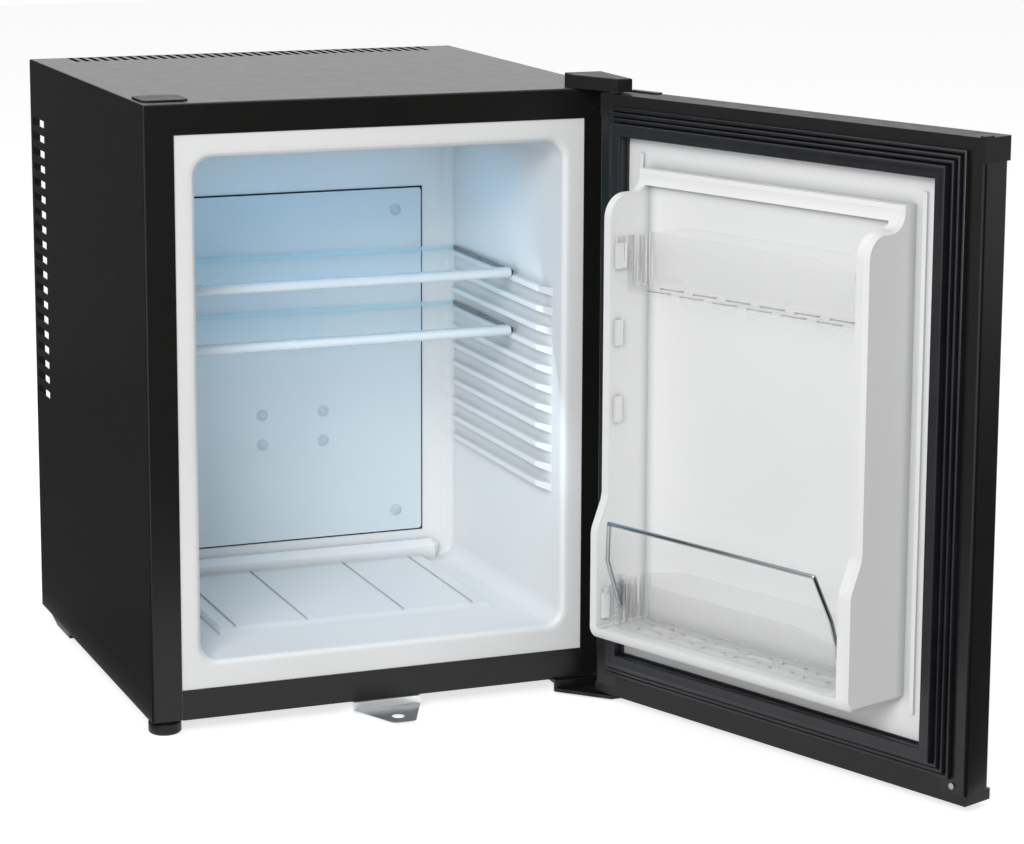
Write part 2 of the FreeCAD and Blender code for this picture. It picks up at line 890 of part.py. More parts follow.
def make_top_hinge():
    """Flat arm on the cabinet's top, its pin, and the cover over both."""
    inset = hinge_cover_wall + fit_gap
    arm = plan_prism(hinge_outline(inset), top, top + hinge_plate)
    pin_hole = pin_bar(pin_diameter, top - overrun, top + hinge_plate + overrun)
    arm = arm.cut(hinge_screw_holes() + [pin_hole])
    pin = pin_bar(pin_diameter, top - pin_top_length, top + hinge_plate)
    cover = plan_prism(hinge_outline(0), top, top + hinge_cover_height)
    cover = rounded(cover, hinge_cover_round, lambda p: near(p.z, top + hinge_cover_height))
    hollow = plan_prism(hinge_outline(hinge_cover_wall), top - overrun,
                        top + hinge_cover_height - hinge_cover_wall)
    return arm, pin, cover.cut(hollow)


arm_high = door_low - lower_arm_clear
arm_low = arm_high - lower_plate


def lower_screw_places():
    x = half_width - (lower_mount_left + lower_mount_right) / 2
    return [(x, front + lower_screw_first + index * lower_screw_spacing) for index in range(2)]


def lower_screw_holes():
    under = base - lower_plate - overrun
    return [bolt(screw_shank_diameter + shank_gap, x, y, under, base + sheet + overrun)
            for x, y in lower_screw_places()]


def make_bottom_hinge():
    """Bent plate: a foot under the cabinet, a riser in front of it and an arm under the door with its pin."""
    riser_back = front - lower_riser_gap
    riser_front = riser_back - lower_plate
    tip = hinge_y - hinge_tip_reach
    back = front + lower_mount_back
    profile = [(back, base), (riser_front, base), (riser_front, arm_high), (tip, arm_high), (tip, arm_low),
               (riser_back, arm_low), (riser_back, base - lower_plate), (back, base - lower_plate)]
    left = half_width - lower_mount_left
    bent = side_prism(profile, left, half_width)
    mount_right = half_width - lower_mount_right
    right = half_width - hinge_cover_side_gap
    outline = [(left, back), (left, riser_front), (right - hinge_tip_width, tip), (right, tip),
               (right, riser_back), (mount_right, riser_back), (mount_right, back)]
    plate = bent.common(plan_prism(outline, arm_low - overrun, base + overrun))
    pin_hole = pin_bar(pin_diameter, arm_low - overrun, arm_high + overrun)
    plate = plate.cut(lower_screw_holes() + [pin_hole])
    pin = pin_bar(pin_diameter, arm_low, door_low + pin_bottom_length)
    return plate, pin


def make_hinge_screws():
    """Two screws in the top hinge and two in the bottom one."""
    screws = []
    for x, y in hinge_screw_places():
        head = bolt(screw_head_diameter, x, y, top + hinge_plate, top + hinge_plate + screw_head_height)
        screws.append(fuse([head, bolt(screw_shank_diameter, x, y, top - sheet, top + hinge_plate)]))
    for x, y in lower_screw_places():
        under = base - lower_plate
        head = bolt(screw_head_diameter, x, y, under - screw_head_height, under)
        screws.append(fuse([head, bolt(screw_shank_diameter, x, y, under, base + sheet)]))
    return Part.makeCompound(screws)


def blank_middle():
    return blank_side + blank_width / 2 - half_width, front + blank_front + blank_depth / 2


def blank_peg():
    x, y = blank_middle()
    return bolt(blank_peg_diameter, x, y, top - sheet, top)


def make_hinge_blank():
    """Thin plate with a peg that closes the unused hinge place on the left."""
    x, y = blank_middle()
    plate = box(x - blank_width / 2, x + blank_width / 2, y - blank_depth / 2, y + blank_depth / 2,
                top, top + blank_thickness)
    corners = bevelled_along(plate, blank_corner, UP)
    return fuse([corners, blank_peg()])


# Lock striker under the cabinet's front edge

def striker_screw_places():
    return [(side * striker_screw_spacing / 2, front + striker_screw_back) for side in (-1, 1)]


def striker_screw_holes():
    return [bolt(screw_shank_diameter + shank_gap, x, y, striker_top - overrun - striker_thickness,
                 base + sheet + overrun) for x, y in striker_screw_places()]


def make_striker():
    """Bent plate: a foot under the floor sheet and a tapered tongue under the door with the bolt's hole."""
    tip = front - striker_reach
    back = front + striker_back
    low = striker_top - striker_thickness
    bend = front - striker_joggle
    profile = [(back, base), (bend, base), (bend, striker_top), (tip, striker_top), (tip, low),
               (front, low), (front, base - striker_thickness), (back, base - striker_thickness)]
    root = striker_root_width / 2
    end = striker_tip_width / 2
    outline = plan_prism([(-root, back), (-root, bend), (-end, tip), (end, tip), (root, bend), (root, back)],
                         low - overrun, base + overrun)
    outline = rounded_along(outline, striker_tip_round, UP, lambda p: near(p.y, tip))
    plate = side_prism(profile, -root, root).common(outline)
    hole = plan_prism([(dx, lock_y + dy) for dx, dy in ring(striker_hole_width, turning_sides)],
                      low - overrun, striker_top + overrun)
    return plate.cut([hole] + striker_screw_holes())


def make_striker_screws():
    screws = []
    for x, y in striker_screw_places():
        under = base - striker_thickness
        head = bolt(screw_head_diameter, x, y, under - screw_head_height, under)
        screws.append(fuse([head, bolt(screw_shank_diameter, x, y, under, base + sheet)]))
    return Part.makeCompound(screws)


# Shelves

def make_shelf(step):
    """Glass on a pair of ribs, with a round-nosed trim along its front edge."""
    level = rib_first - step * rib_pitch + fit_gap
    half = cavity_half - shelf_side_gap
    glass = box(-half, half, shelf_front + trim_depth - trim_lip, shelf_rear, level, level + glass_thickness)
    trim_half = rib_tip - trim_end_gap
    middle = level + glass_thickness / 2
    bar = box(-trim_half, trim_half, shelf_front, shelf_front + trim_depth,
              middle - trim_height / 2, middle + trim_height / 2)
    bar = rounded(bar, trim_round, lambda p: near(p.y, shelf_front))
    return glass, bar.cut(glass)


# Door

def make_door_skin():
    """Sheet folded round the front and both edges, with returns on the inner side."""
    low = door_low + cap_bottom_height
    high = door_high - cap_top_height
    block = box(-half_width, half_width, door_outer, door_inner, low, high)
    block = rounded_along(block, door_edge_round, UP)
    hollow = box(sheet - half_width, half_width - sheet, door_outer + sheet, door_inner - sheet,
                 low - overrun, high + overrun)
    back = half_width - door_return
    mouth = box(-back, back, door_inner - sheet - overrun, door_inner + overrun,
                low - overrun, high + overrun)
    return block.cut([hollow, mouth, barrel_bore(), cap_screw_hole()])


def door_cap(low, high, open_low, open_high):
    """Moulded end cap whose front edge stands proud of the skin."""
    block = box(-half_width, half_width, door_outer - cap_lip, door_inner, low, high)
    block = rounded_along(block, cap_round, UP, lambda p: near(p.y, door_outer - cap_lip))
    hollow = box(cap_wall - half_width, half_width - cap_wall, door_outer + sheet, door_inner - cap_wall,
                 open_low, open_high)
    return block.cut(hollow)


def make_top_cap():
    low = door_high - cap_top_height
    cap = door_cap(low, door_high, low - overrun, door_high - cap_wall)
    lug_right = half_width - top_lug_start
    lip = door_outer - cap_lip
    lug = box(lug_right - top_lug_length, lug_right, lip, lip + top_lug_depth,
              door_high - cap_wall, door_high + top_lug_height)
    end_lug = box(-half_width, end_lug_depth - half_width, door_inner - end_lug_length, door_inner,
                  door_high - cap_wall, door_high + end_lug_height)
    bush = bush_body(door_high - pin_top_length - bush_extra, door_high + overrun)
    return fuse([cap, lug, end_lug]).cut(bush)


def make_bottom_cap():
    high = door_low + cap_bottom_height
    cap = door_cap(door_low, high, door_low + cap_wall, high + overrun)
    reach = half_width - door_return
    leg = box(-reach, reach, door_inner - cap_wall, door_inner, door_low,
              door_low + gasket_bottom + gasket_base_inset)
    bolt_hole = bolt_bar(fit_gap, door_low - overrun, high + overrun)
    bush = bush_body(door_low - overrun, door_low + pin_bottom_length + bush_extra)
    return fuse([cap, leg]).cut([bush, bolt_hole])


def bush_body(z0, z1):
    return pin_bar(2 * bush_radius, z0, z1)


def make_bush(z0, z1):
    bore = pin_bar(turning_bore(pin_diameter), z0 - overrun, z1 + overrun)
    return bush_body(z0, z1).cut(bore)


def tray_profile(inset):
    """Side of the door tray in the plane of y and z, drawn in by the wall for the foam inside it."""
    low = base + tray_low + inset
    high = base + tray_top - inset
    deep = door_inner + tray_deep - inset
    mid = door_inner + tray_mid - inset
    rim = door_inner + tray_rim - inset
    corner = tray_low_round - inset
    outer = tray_curl_outer - inset
    inner = tray_curl_inner + inset
    curl = base + tray_curl_start
    outer_y = door_inner + tray_mid - tray_curl_outer
    inner_y = door_inner + tray_rim + tray_curl_inner
    shelf = curl + outer
    diagonal = math.sqrt(1 / 2)

    def point(y, z):
        return Vector(-tray_half + inset, y, z)

    corner_mid = point(deep - corner + corner * diagonal, low + corner - corner * diagonal)
    outer_mid = point(outer_y + outer * diagonal, curl + outer * diagonal)
    inner_mid = point(inner_y - inner * diagonal, shelf + inner - inner * diagonal)
    stops = [point(door_inner, low), point(deep - corner, low), point(deep, low + corner),
             point(deep, base + tray_ramp_low), point(mid, base + tray_ramp_high), point(mid, curl),
             point(outer_y, shelf), point(inner_y, shelf), point(rim, shelf + inner), point(rim, high),
             point(door_inner, high)]
    arcs = {1: corner_mid, 5: outer_mid, 7: inner_mid}
    edges = []
    for index, (start, end) in enumerate(zip(stops, stops[1:] + stops[:1])):
        if index in arcs:
            edges.append(Part.Arc(start, arcs[index], end).toShape())
        else:
            edges.append(Part.LineSegment(start, end).toShape())
    return Part.Face(Part.Wire(edges))


def tray_pan_space(grow):
    """Hollow of the tray, between its side walls and above its floor."""
    deep = tray_deep + overrun
    mouth = rounded_rect(tray_inner_half + grow, tray_floor_z - grow, base + tray_pan_top + grow,
                         tray_pan_corner + grow, door_inner + deep)
    bed = rounded_rect(tray_inner_half - tray_pan_draft + grow, tray_floor_z - grow,
                       base + tray_pan_top + grow, tray_pan_corner + grow, door_inner + tray_pan - grow)
    return Part.makeLoft([bed, mouth], True, True)


def tray_solid(inset):
    block = tray_profile(inset).extrude(Vector(2 * (tray_half - inset), 0, 0))
    if inset == 0:
        block = bevelled(block, tray_edge_bevel, lambda p: near(abs(p.x), tray_half)
                         and p.y > door_inner + tolerance)
    return block.cut(tray_pan_space(inset))


def tab_places():
    """Depth of the tray wall and height of each pair of tabs that a bin can hang on."""
    places = [(tray_mid, tab_first_rise - index * tab_pitch) for index in range(tab_count)]
    return places + [(tray_deep, low_tab_rise)]


def make_door_liner(core):
    reach_x = half_width - gasket_side - gasket_base_inset
    low = door_low + gasket_bottom + gasket_base_inset
    high = door_high - gasket_top - gasket_base_inset
    flange = box(-reach_x, reach_x, door_inner, door_inner + liner_wall, low, high)
    parts = [flange, tray_solid(0)]
    for side in (-1, 1):
        x = side * (tray_half + bead_gap)
        bead = box(x - bead_width / 2, x + bead_width / 2, door_inner, door_inner + liner_wall + bead_height,
                   base + tray_low - bead_end, base + tray_top + bead_end)
        parts.append(bead)
    for depth, rise in tab_places():
        tab_front = door_inner + depth - tab_setback
        tab = box(bin_half + fit_gap, tray_inner_half + tray_wall / 2, tab_front - tab_depth, tab_front,
                  base + rise, base + rise + tab_height)
        parts += [tab, mirrored(tab)]
    return fuse(parts).cut(core)


def door_core():
    """Foam that fills the tray's walls and bed from behind."""
    return tray_solid(liner_wall)


def make_door_insulation(core, neighbours):
    low = door_low + cap_wall
    high = door_high - cap_wall
    block = box(sheet - half_width, half_width - sheet, door_outer + sheet, door_inner - sheet, low, high)
    back = half_width - door_return
    mouth = box(-back, back, door_inner - sheet, door_inner, low, high)
    return fuse([block, mouth, core]).cut(neighbours)


def make_gasket():
    """Bellows seal with mitred corners, drawn round the door liner's flange."""
    low = door_low + gasket_bottom
    high = door_high - gasket_top
    half = half_width - gasket_side
    y0 = door_inner + liner_wall
    y1 = front - fit_gap
    height = y1 - y0
    first, second, third = [y0 + height * share for share in gasket_height_shares]
    section = [(0, y0), (0, first), (gasket_step, second), (gasket_step, third),
               (2 * gasket_step, y1 - gasket_lip_drop), (gasket_width - gasket_face_width, y1),
               (gasket_width, y1), (gasket_width, y1 - gasket_lip_drop),
               (gasket_width - gasket_step, second), (gasket_width - gasket_step, y0)]
    inner_half = half - gasket_width
    inner_low = low + gasket_width
    inner_high = high - gasket_width
    bars = []
    side_corners = [Vector(m - half, y, low) for m, y in section]
    upright = Part.Face(Part.makePolygon(side_corners + side_corners[:1])).extrude(Vector(0, 0, high - low))
    mitre = front_prism([(-half, low), (-inner_half, inner_low), (-inner_half, inner_high), (-half, high)],
                        y0 - overrun, y1 + overrun)
    upright = upright.common(mitre)
    bars += [upright, mirrored(upright)]
    for edge, sign in ((low, 1), (high, -1)):
        corners = [Vector(-half, y, edge + sign * m) for m, y in section]
        level = Part.Face(Part.makePolygon(corners + corners[:1])).extrude(Vector(2 * half, 0, 0))
        inner_edge = edge + sign * gasket_width
        mitre = front_prism([(-half, edge), (half, edge), (inner_half, inner_edge),
                             (-inner_half, inner_edge)], y0 - overrun, y1 + overrun)
        bars.append(level.common(mitre))
    return fuse(bars)


# Door bins and the bottle bail

def bin_tray(depth, low, height):
    """Clear tray with round front corners, lowered ends and a slotted floor."""
    y1 = door_inner + depth - bin_front_setback
    high = low + height
    body = box(-bin_half, bin_half, bin_back, y1, low, high)
    body = rounded_along(body, bin_corner, UP, lambda p: near(p.y, y1))
    half = bin_half - bin_wall
    hollow = box(-half, half, bin_back + bin_wall, y1 - bin_wall, low + bin_floor, high + overrun)
    hollow = rounded_along(hollow, bin_corner - bin_wall, UP, lambda p: near(p.y, y1 - bin_wall))
    cuts = [hollow]
    dip = front_prism([(bin_half - bin_dip_length, high), (bin_half + overrun, high - bin_dip),
                       (bin_half + overrun, high + overrun), (bin_half - bin_dip_length, high + overrun)],
                      bin_back - overrun, y1 + overrun)
    cuts += [dip, mirrored(dip)]
    middle = (bin_back + y1) / 2
    for row in range(bin_slot_rows):
        y = middle + (row - (bin_slot_rows - 1) / 2) * bin_slot_row_pitch
        for index in range(bin_slot_count):
            x = (index - (bin_slot_count - 1) / 2) * bin_slot_pitch
            cuts.append(slot(x, y, bin_slot_length, bin_slot_width, low - overrun, low + bin_floor + overrun))
    return body.cut(cuts)


def bin_hooks(depth, rise):
    """Bent ledge at each end of a bin that goes over a tab and down behind it."""
    tab_front = door_inner + depth - tab_setback
    tab_back = tab_front - tab_depth
    level = base + rise + tab_height + fit_gap
    hook_back = tab_back - hook_length
    profile = [(tab_front, level), (tab_front, level + hook_height), (hook_back, level + hook_height),
               (hook_back, level - tab_height), (tab_back - fit_gap, level - tab_height),
               (tab_back - fit_gap, level)]
    hook = side_prism(profile, bin_half - bin_wall, bin_half + tab_proud)
    return [hook, mirrored(hook)]


def make_upper_bin():
    tray = bin_tray(tray_mid, base + upper_bin_rise, upper_bin_height)
    return fuse([tray] + bin_hooks(tray_mid, tab_first_rise))


def bail_feet():
    """Where the bail's legs stand in the lower bin: x of a leg, y of both and the top of the bosses."""
    x = bin_half - bin_wall - bail_boss / 2
    y = door_inner + tray_deep - bin_front_setback - bail_setback
    return x, y, lower_bin_z + lower_bin_height - bail_boss_drop


def make_lower_bin():
    """Bin just above the tray's floor, with a socket at each end for the bail."""
    tray = bin_tray(tray_deep, lower_bin_z, lower_bin_height)
    x, y, high = bail_feet()
    boss = box(x - bail_boss / 2, x + bail_boss / 2, y - bail_boss / 2, y + bail_boss / 2,
               high - bail_boss_height, high)
    socket = post(bail_wire, x, y, high - bail_boss_height + bin_wall, high + overrun)
    boss = boss.cut(socket)
    hooks = bin_hooks(tray_deep, low_tab_rise)
    return fuse([tray.cut([socket, mirrored(socket)]), boss, mirrored(boss)] + hooks)


def make_bottle_bail():
    """Bent wire that leans out over the lower bin to hold tall bottles."""
    x, y, high = bail_feet()
    foot = high - bail_boss_height + bin_wall
    leg = [(y, foot), (y, high + bail_straight), (y + bail_knee_reach, lower_bin_z + bail_knee_rise),
           (y + bail_top_reach, lower_bin_z + bail_top_rise)]
    left = [Vector(-x, py, pz) for py, pz in leg]
    right = [Vector(x, py, pz) for py, pz in reversed(leg)]
    return wire_run(left + right, bail_wire, bail_bend, bail_sides)


# Door lock

barrel_z = door_low + barrel_rise


def barrel_bore():
    return barrel_bar(turning_bore(barrel_diameter), door_outer - overrun, lock_y + lock_housing_wall)


def make_lock_barrel():
    """Key barrel in the door's front, with its key slot."""
    face = door_outer - barrel_head_height
    body = barrel_bar(barrel_diameter, door_outer, door_outer + barrel_inner_length)
    head = barrel_bar(barrel_head_diameter, face, door_outer - fit_gap)
    neck = barrel_bar(barrel_diameter, door_outer - fit_gap, door_outer)
    key = box(-keyway_width / 2, keyway_width / 2, face - overrun, face + keyway_depth,
              barrel_z - keyway_length / 2, barrel_z + keyway_length / 2)
    return fuse([head, neck, body]).cut(key)


bolt_low = door_low + fit_gap
bolt_high = bolt_low + bolt_length


def bolt_bar(grow, z0, z1):
    """Square bar in the line of the bolt, larger all round by a clearance."""
    half = bolt_width / 2 + grow
    return box(-half, half, lock_y - half, lock_y + half, z0, z1)


def make_lock_bolt():
    return bevelled(bolt_bar(0, bolt_low, bolt_high), bolt_chamfer, lambda p: near(p.z, bolt_low))


def lock_housing_body():
    half = lock_housing_width / 2
    y0 = door_outer + sheet
    return box(-half, half, y0, lock_y + bolt_width / 2 + lock_housing_wall,
               door_low + cap_wall, barrel_z + barrel_diameter / 2 + lock_housing_wall)


def make_lock_housing():
    """Block in the foam that guides the barrel and the bolt."""
    bolt_bore = bolt_bar(running_gap, door_low, bolt_high + fit_gap)
    barrel_room = barrel_bar(turning_bore(barrel_diameter), door_outer - overrun,
                             door_outer + barrel_inner_length + fit_gap)
    return lock_housing_body().cut([bolt_bore, barrel_room])


def cap_screw_place():
    return cap_screw_inset - half_width, door_low + cap_screw_rise


def cap_screw_hole():
    x, z = cap_screw_place()
    return stud(cap_screw_shank + shank_gap, x, door_inner - sheet - overrun, door_inner + overrun, z)


def make_cap_screw():
    """Small screw in the skin's return at the door's lower free corner."""
    x, z = cap_screw_place()
    head = stud(cap_screw_diameter, x, door_inner, door_inner + cap_screw_height, z)
    return fuse([head, stud(cap_screw_shank, x, door_inner - sheet, door_inner, z)])


# Build and write every piece

def write(name, shape):
    shape.exportStep(os.path.join("parts", name + ".step"))


def build():
    envelope = liner_envelope()
    lamp_base, lamp_lens = make_lamp()
    top_arm, top_pin, hinge_cover = make_top_hinge()
    low_arm, low_pin = make_bottom_hinge()
    fixed = {
        "outer_shell": make_outer_shell(),
        "bottom_panel": make_bottom_panel(),
        "back_panel": make_back_panel(),
        "cabinet_liner": make_liner(envelope),
        "cabinet_insulation": make_insulation(envelope),
        "cooling_plate": make_cooling_plate(),
        "plate_fixings": make_plate_fixings(),
        "cold_block": cold_block_body(),
        "thermoelectric_module": make_module(),
        "heat_sink": make_heat_sink(),
        "control_box": make_control_box(),
        "control_cover": make_control_cover(),
        "circuit_board": make_circuit_board(),
        "power_inlet": make_power_inlet(),
        "lamp_base": lamp_base,
        "lamp_lens": lamp_lens,
        "front_feet": make_front_feet(),
        "rear_skids": make_rear_skids(),
        "top_hinge_arm": top_arm,
        "top_hinge_pin": top_pin,
        "hinge_cover": hinge_cover,
        "bottom_hinge_arm": low_arm,
        "bottom_hinge_pin": low_pin,
        "hinge_screws": make_hinge_screws(),
        "hinge_blank": make_hinge_blank(),
        "lock_striker": make_striker(),
        "striker_screws": make_striker_screws(),
    }
    for name, step in zip(("upper", "lower"), shelf_rib_steps):
        glass, trim = make_shelf(step)
        fixed[name + "_shelf_glass"] = glass
        fixed[name + "_shelf_trim"] = trim

    core = door_core()
    skin = make_door_skin()
    top_cap = make_top_cap()
    bottom_cap = make_bottom_cap()
    top_bush = make_bush(door_high - pin_top_length - bush_extra, door_high)
    bottom_bush = make_bush(door_low, door_low + pin_bottom_length + bush_extra)
    bush_spaces = [bush_body(door_high - pin_top_length - bush_extra, door_high),
                   bush_body(door_low, door_low + pin_bottom_length + bush_extra)]
    foam_neighbours = [skin, top_cap, bottom_cap, lock_housing_body(), barrel_bore(), cap_screw_hole()]
    swinging = {
        "door_skin": skin,
        "door_top_cap": top_cap,
        "door_bottom_cap": bottom_cap,
        "door_liner": make_door_liner(core),
        "door_insulation": make_door_insulation(core, foam_neighbours + bush_spaces),
        "door_gasket": make_gasket(),
        "top_hinge_bush": top_bush,
        "bottom_hinge_bush": bottom_bush,
        "upper_bin": make_upper_bin(),
        "lower_bin": make_lower_bin(),
        "bottle_bail": make_bottle_bail(),
        "lock_housing": make_lock_housing(),
        "lock_barrel": make_lock_barrel(),
        "lock_bolt": make_lock_bolt(),
        "cap_screw": make_cap_screw(),
    }
    for name, shape in fixed.items():
        write(name, shape)
    for name, shape in swinging.items():
        shape.rotate(Vector(hinge_x, hinge_y, 0), UP, door_open_angle)
        write(name, shape)


os.makedirs("parts", exist_ok=True)
build()
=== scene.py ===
import json
import math

import bpy
from mathutils import Matrix, Vector


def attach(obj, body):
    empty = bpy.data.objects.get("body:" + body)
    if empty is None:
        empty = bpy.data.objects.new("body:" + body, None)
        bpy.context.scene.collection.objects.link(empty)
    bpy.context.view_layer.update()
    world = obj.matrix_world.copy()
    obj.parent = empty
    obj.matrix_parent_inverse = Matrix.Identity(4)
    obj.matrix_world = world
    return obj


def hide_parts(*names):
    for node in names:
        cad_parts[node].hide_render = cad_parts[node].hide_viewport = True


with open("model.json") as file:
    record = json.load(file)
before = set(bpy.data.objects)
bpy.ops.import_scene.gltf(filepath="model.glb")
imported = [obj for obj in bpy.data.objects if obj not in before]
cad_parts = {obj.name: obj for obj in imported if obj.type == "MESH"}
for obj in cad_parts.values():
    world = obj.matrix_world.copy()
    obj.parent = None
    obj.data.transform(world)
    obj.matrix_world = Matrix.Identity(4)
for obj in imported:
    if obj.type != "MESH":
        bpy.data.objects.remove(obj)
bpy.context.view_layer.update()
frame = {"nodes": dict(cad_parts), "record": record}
nodes = frame["nodes"]
scene = bpy.context.scene
scene.view_settings.view_transform = "Standard"

MM = 0.001

# Door hinge, and the swing from shut to the pose of the photograph
HINGE = Vector((0.193, -0.220, 0.0))
SWING = math.radians(111.0)
OPEN = Matrix.Translation(HINGE) @ Matrix.Rotation(SWING, 4, "Z") @ Matrix.Translation(-HINGE)

# Places that the finishes look for, in metres
CABINET_HALF, CABINET_TOP = 0.200, 0.515
FRAME_FACE, FRAME_HEAD, SEAM_HALF = -0.1925, 0.489, 0.00045
SHEET_SIDE, SHEET_BACK, SHEET_FRONT = 0.1508, 0.0504, -0.0952
BIN_END = 0.1215

# Numbers that several finishes share
NOISE_ROUGHNESS = 0.55
# painted shade in hollows: how far the occlusion looks, its samples, the span it darkens over and the grey it
# darkens to
PAINTED_SHADE_REACH, PAINTED_SHADE_SAMPLES, PAINTED_SHADE_SPAN, PAINTED_SHADE_GREY = 0.010, 6, (0.25, 0.95), (0.13, 0.15, 0.17)
SLANT_BLEND, SLANT_SPAN, SHEET_SHADE = 0.35, (0.15, 1.0), 0.97


# Material nodes

class Finish:
    """One procedural material. Its textures are placed in the part's own frame, in metres."""

    def __init__(self, name, **shader):
        self.mat = bpy.data.materials.new(name)
        self.mat.use_nodes = True
        self.tree = self.mat.node_tree
        self.bsdf = next(n for n in self.tree.nodes if n.type == "BSDF_PRINCIPLED")
        for key, value in shader.items():
            self.bsdf.inputs[key.replace("_", " ")].default_value = value
        self.place = self.add("ShaderNodeTexCoord").outputs["Object"]

    def add(self, kind, **inputs):
        node = self.tree.nodes.new(kind)
        for key, value in inputs.items():
            socket = node.inputs[key.replace("_", " ")]
            if isinstance(value, bpy.types.NodeSocket):
                self.tree.links.new(value, socket)
            else:
                socket.default_value = value
        return node

    def link(self, source, key):
        self.tree.links.new(source, self.bsdf.inputs[key])

    def stretched(self, scale):
        node = self.add("ShaderNodeMapping", Vector=self.place)
        node.inputs["Scale"].default_value = scale
        return node.outputs["Vector"]

    def noise(self, scale, detail, stretch=None):
        where = self.stretched(stretch) if stretch else self.place
        node = self.add("ShaderNodeTexNoise", Vector=where, Scale=scale, Detail=detail,
                        Roughness=NOISE_ROUGHNESS)
        return node.outputs["Fac"]

    def cells(self, scale, output="Distance", stretch=None):
        where = self.stretched(stretch) if stretch else self.place
        return self.add("ShaderNodeTexVoronoi", Vector=where, Scale=scale).outputs[output]

    def axis(self, name):
        return self.add("ShaderNodeSeparateXYZ", Vector=self.place).outputs[name]

    def math(self, operation, a, b=0.0):
        node = self.tree.nodes.new("ShaderNodeMath")
        node.operation = operation
        for index, value in enumerate((a, b)):
            if isinstance(value, bpy.types.NodeSocket):
                self.tree.links.new(value, node.inputs[index])
            else:
                node.inputs[index].default_value = value
        return node.outputs[0]

    def spread(self, source, low, high, start=0.3, end=0.7):
        node = self.add("ShaderNodeMapRange", Value=source)
        for key, value in (("From Min", start), ("From Max", end), ("To Min", low), ("To Max", high)):
            node.inputs[key].default_value = value
        return node.outputs["Result"]

    def tint(self, source, low, high, start=0.3, end=0.7, key="Base Color"):
        ramp = self.add("ShaderNodeValToRGB", Fac=source)
        for element, place, colour in zip(ramp.color_ramp.elements, (start, end), (low, high)):
            element.position = place
            element.color = (*colour, 1.0)
        self.link(ramp.outputs["Color"], key)
        return ramp.outputs["Color"]

    def mix(self, share, first, second):
        node = self.tree.nodes.new("ShaderNodeMixRGB")
        for value, socket in zip((share, first, second), node.inputs):
            if isinstance(value, bpy.types.NodeSocket):
                self.tree.links.new(value, socket)
            else:
                socket.default_value = (*value, 1.0)
        return node.outputs["Color"]

    def rough(self, source, low, high):
        self.link(self.spread(source, low, high), "Roughness")

    def bump(self, height, strength, distance, after=None):
        node = self.add("ShaderNodeBump", Height=height, Strength=strength, Distance=distance)
        if after is not None:
            self.tree.links.new(after.outputs["Normal"], node.inputs["Normal"])
        self.link(node.outputs["Normal"], "Normal")
        return node


def powder_coat(name, seams):
    """Fine orange peel over sheet steel, with the folded frame's corner seams."""
    f = Finish(name, Specular_IOR_Level=0.36)
    f.tint(f.noise(260.0, 4.0), (0.0062, 0.0060, 0.0056), (0.0082, 0.0079, 0.0074))
    f.rough(f.noise(60.0, 4.0), 0.28, 0.31)
    peel = f.bump(f.noise(900.0, 2.0), 0.08, 0.0004)
    if seams:
        x, y, z = (f.axis(k) for k in "XYZ")
        inward = f.math("SUBTRACT", f.math("ABSOLUTE", x), CABINET_HALF)
        run = f.math("ADD", inward, f.math("SUBTRACT", CABINET_TOP, z))
        near = f.math("LESS_THAN", f.math("ABSOLUTE", run), SEAM_HALF)
        face = f.math("LESS_THAN", y, FRAME_FACE)
        upper = f.math("GREATER_THAN", z, FRAME_HEAD)
        cut = f.math("MULTIPLY", f.math("MULTIPLY", near, face), upper)
        f.bump(f.math("SUBTRACT", 1.0, cut), 0.6, 0.0006, after=peel)
    return f.mat


def formed_white(name, low, high, roughs, peel, painted_hollow_shade=0.0):
    """Formed or moulded white plastic: soft gloss, faint grain and slow waves, with painted shade that darkens
    its hollows.
    """
    f = Finish(name, Specular_IOR_Level=0.5)
    colour = f.tint(f.noise(5.0, 2.0), low, high)
    # painted shade: ambient occlusion darkens the colour toward a grey in creases, corners and under the ribs
    if painted_hollow_shade:
        near = f.add("ShaderNodeAmbientOcclusion", Distance=PAINTED_SHADE_REACH)
        near.only_local = True
        near.samples = PAINTED_SHADE_SAMPLES
        painted_shade_share = f.spread(near.outputs["AO"], painted_hollow_shade, 0.0, *PAINTED_SHADE_SPAN)
        f.link(f.mix(painted_shade_share, colour, PAINTED_SHADE_GREY), "Base Color")
    f.rough(f.noise(45.0, 3.0), *roughs)
    grain = f.bump(f.noise(700.0, 2.0), peel, 0.0004)
    f.bump(f.noise(6.0, 1.0), 0.12, 0.004, after=grain)
    return f.mat


def galvanised():
    f = Finish("zinc_steel", Metallic=1.0)
    spangle = f.cells(70.0, output="Color")
    grey_value = f.add("ShaderNodeRGBToBW", Color=spangle).outputs["Val"]
    f.tint(grey_value, (0.42, 0.43, 0.45), (0.62, 0.63, 0.65), 0.1, 0.9)
    f.rough(grey_value, 0.34, 0.52)
    f.bump(f.noise(400.0, 2.0), 0.05, 0.0003)
    return f.mat


def dark_zinc():
    f = Finish("black_zinc", Metallic=0.85)
    f.tint(f.noise(120.0, 4.0), (0.016, 0.016, 0.018), (0.034, 0.034, 0.037))
    f.rough(f.noise(200.0, 3.0), 0.34, 0.48)
    f.bump(f.noise(900.0, 2.0), 0.10, 0.0003)
    return f.mat


def foam():
    f = Finish("foam", Roughness=0.95, Specular_IOR_Level=0.2)
    cell = f.cells(420.0)
    f.tint(f.noise(60.0, 4.0), (0.62, 0.50, 0.27), (0.76, 0.66, 0.40))
    f.bump(cell, 0.5, 0.0012)
    return f.mat


def painted_plate():
    f = Finish("white_plate", Specular_IOR_Level=0.5)
    # the plate's white paint is darkened and tinted blue-grey: painted shade and painted blue lamp light
    f.tint(f.noise(4.0, 2.0), (0.62, 0.69, 0.74), (0.68, 0.75, 0.79))
    f.rough(f.noise(50.0, 3.0), 0.33, 0.36)
    f.bump(f.noise(520.0, 2.0), 0.02, 0.0003)
    return f.mat


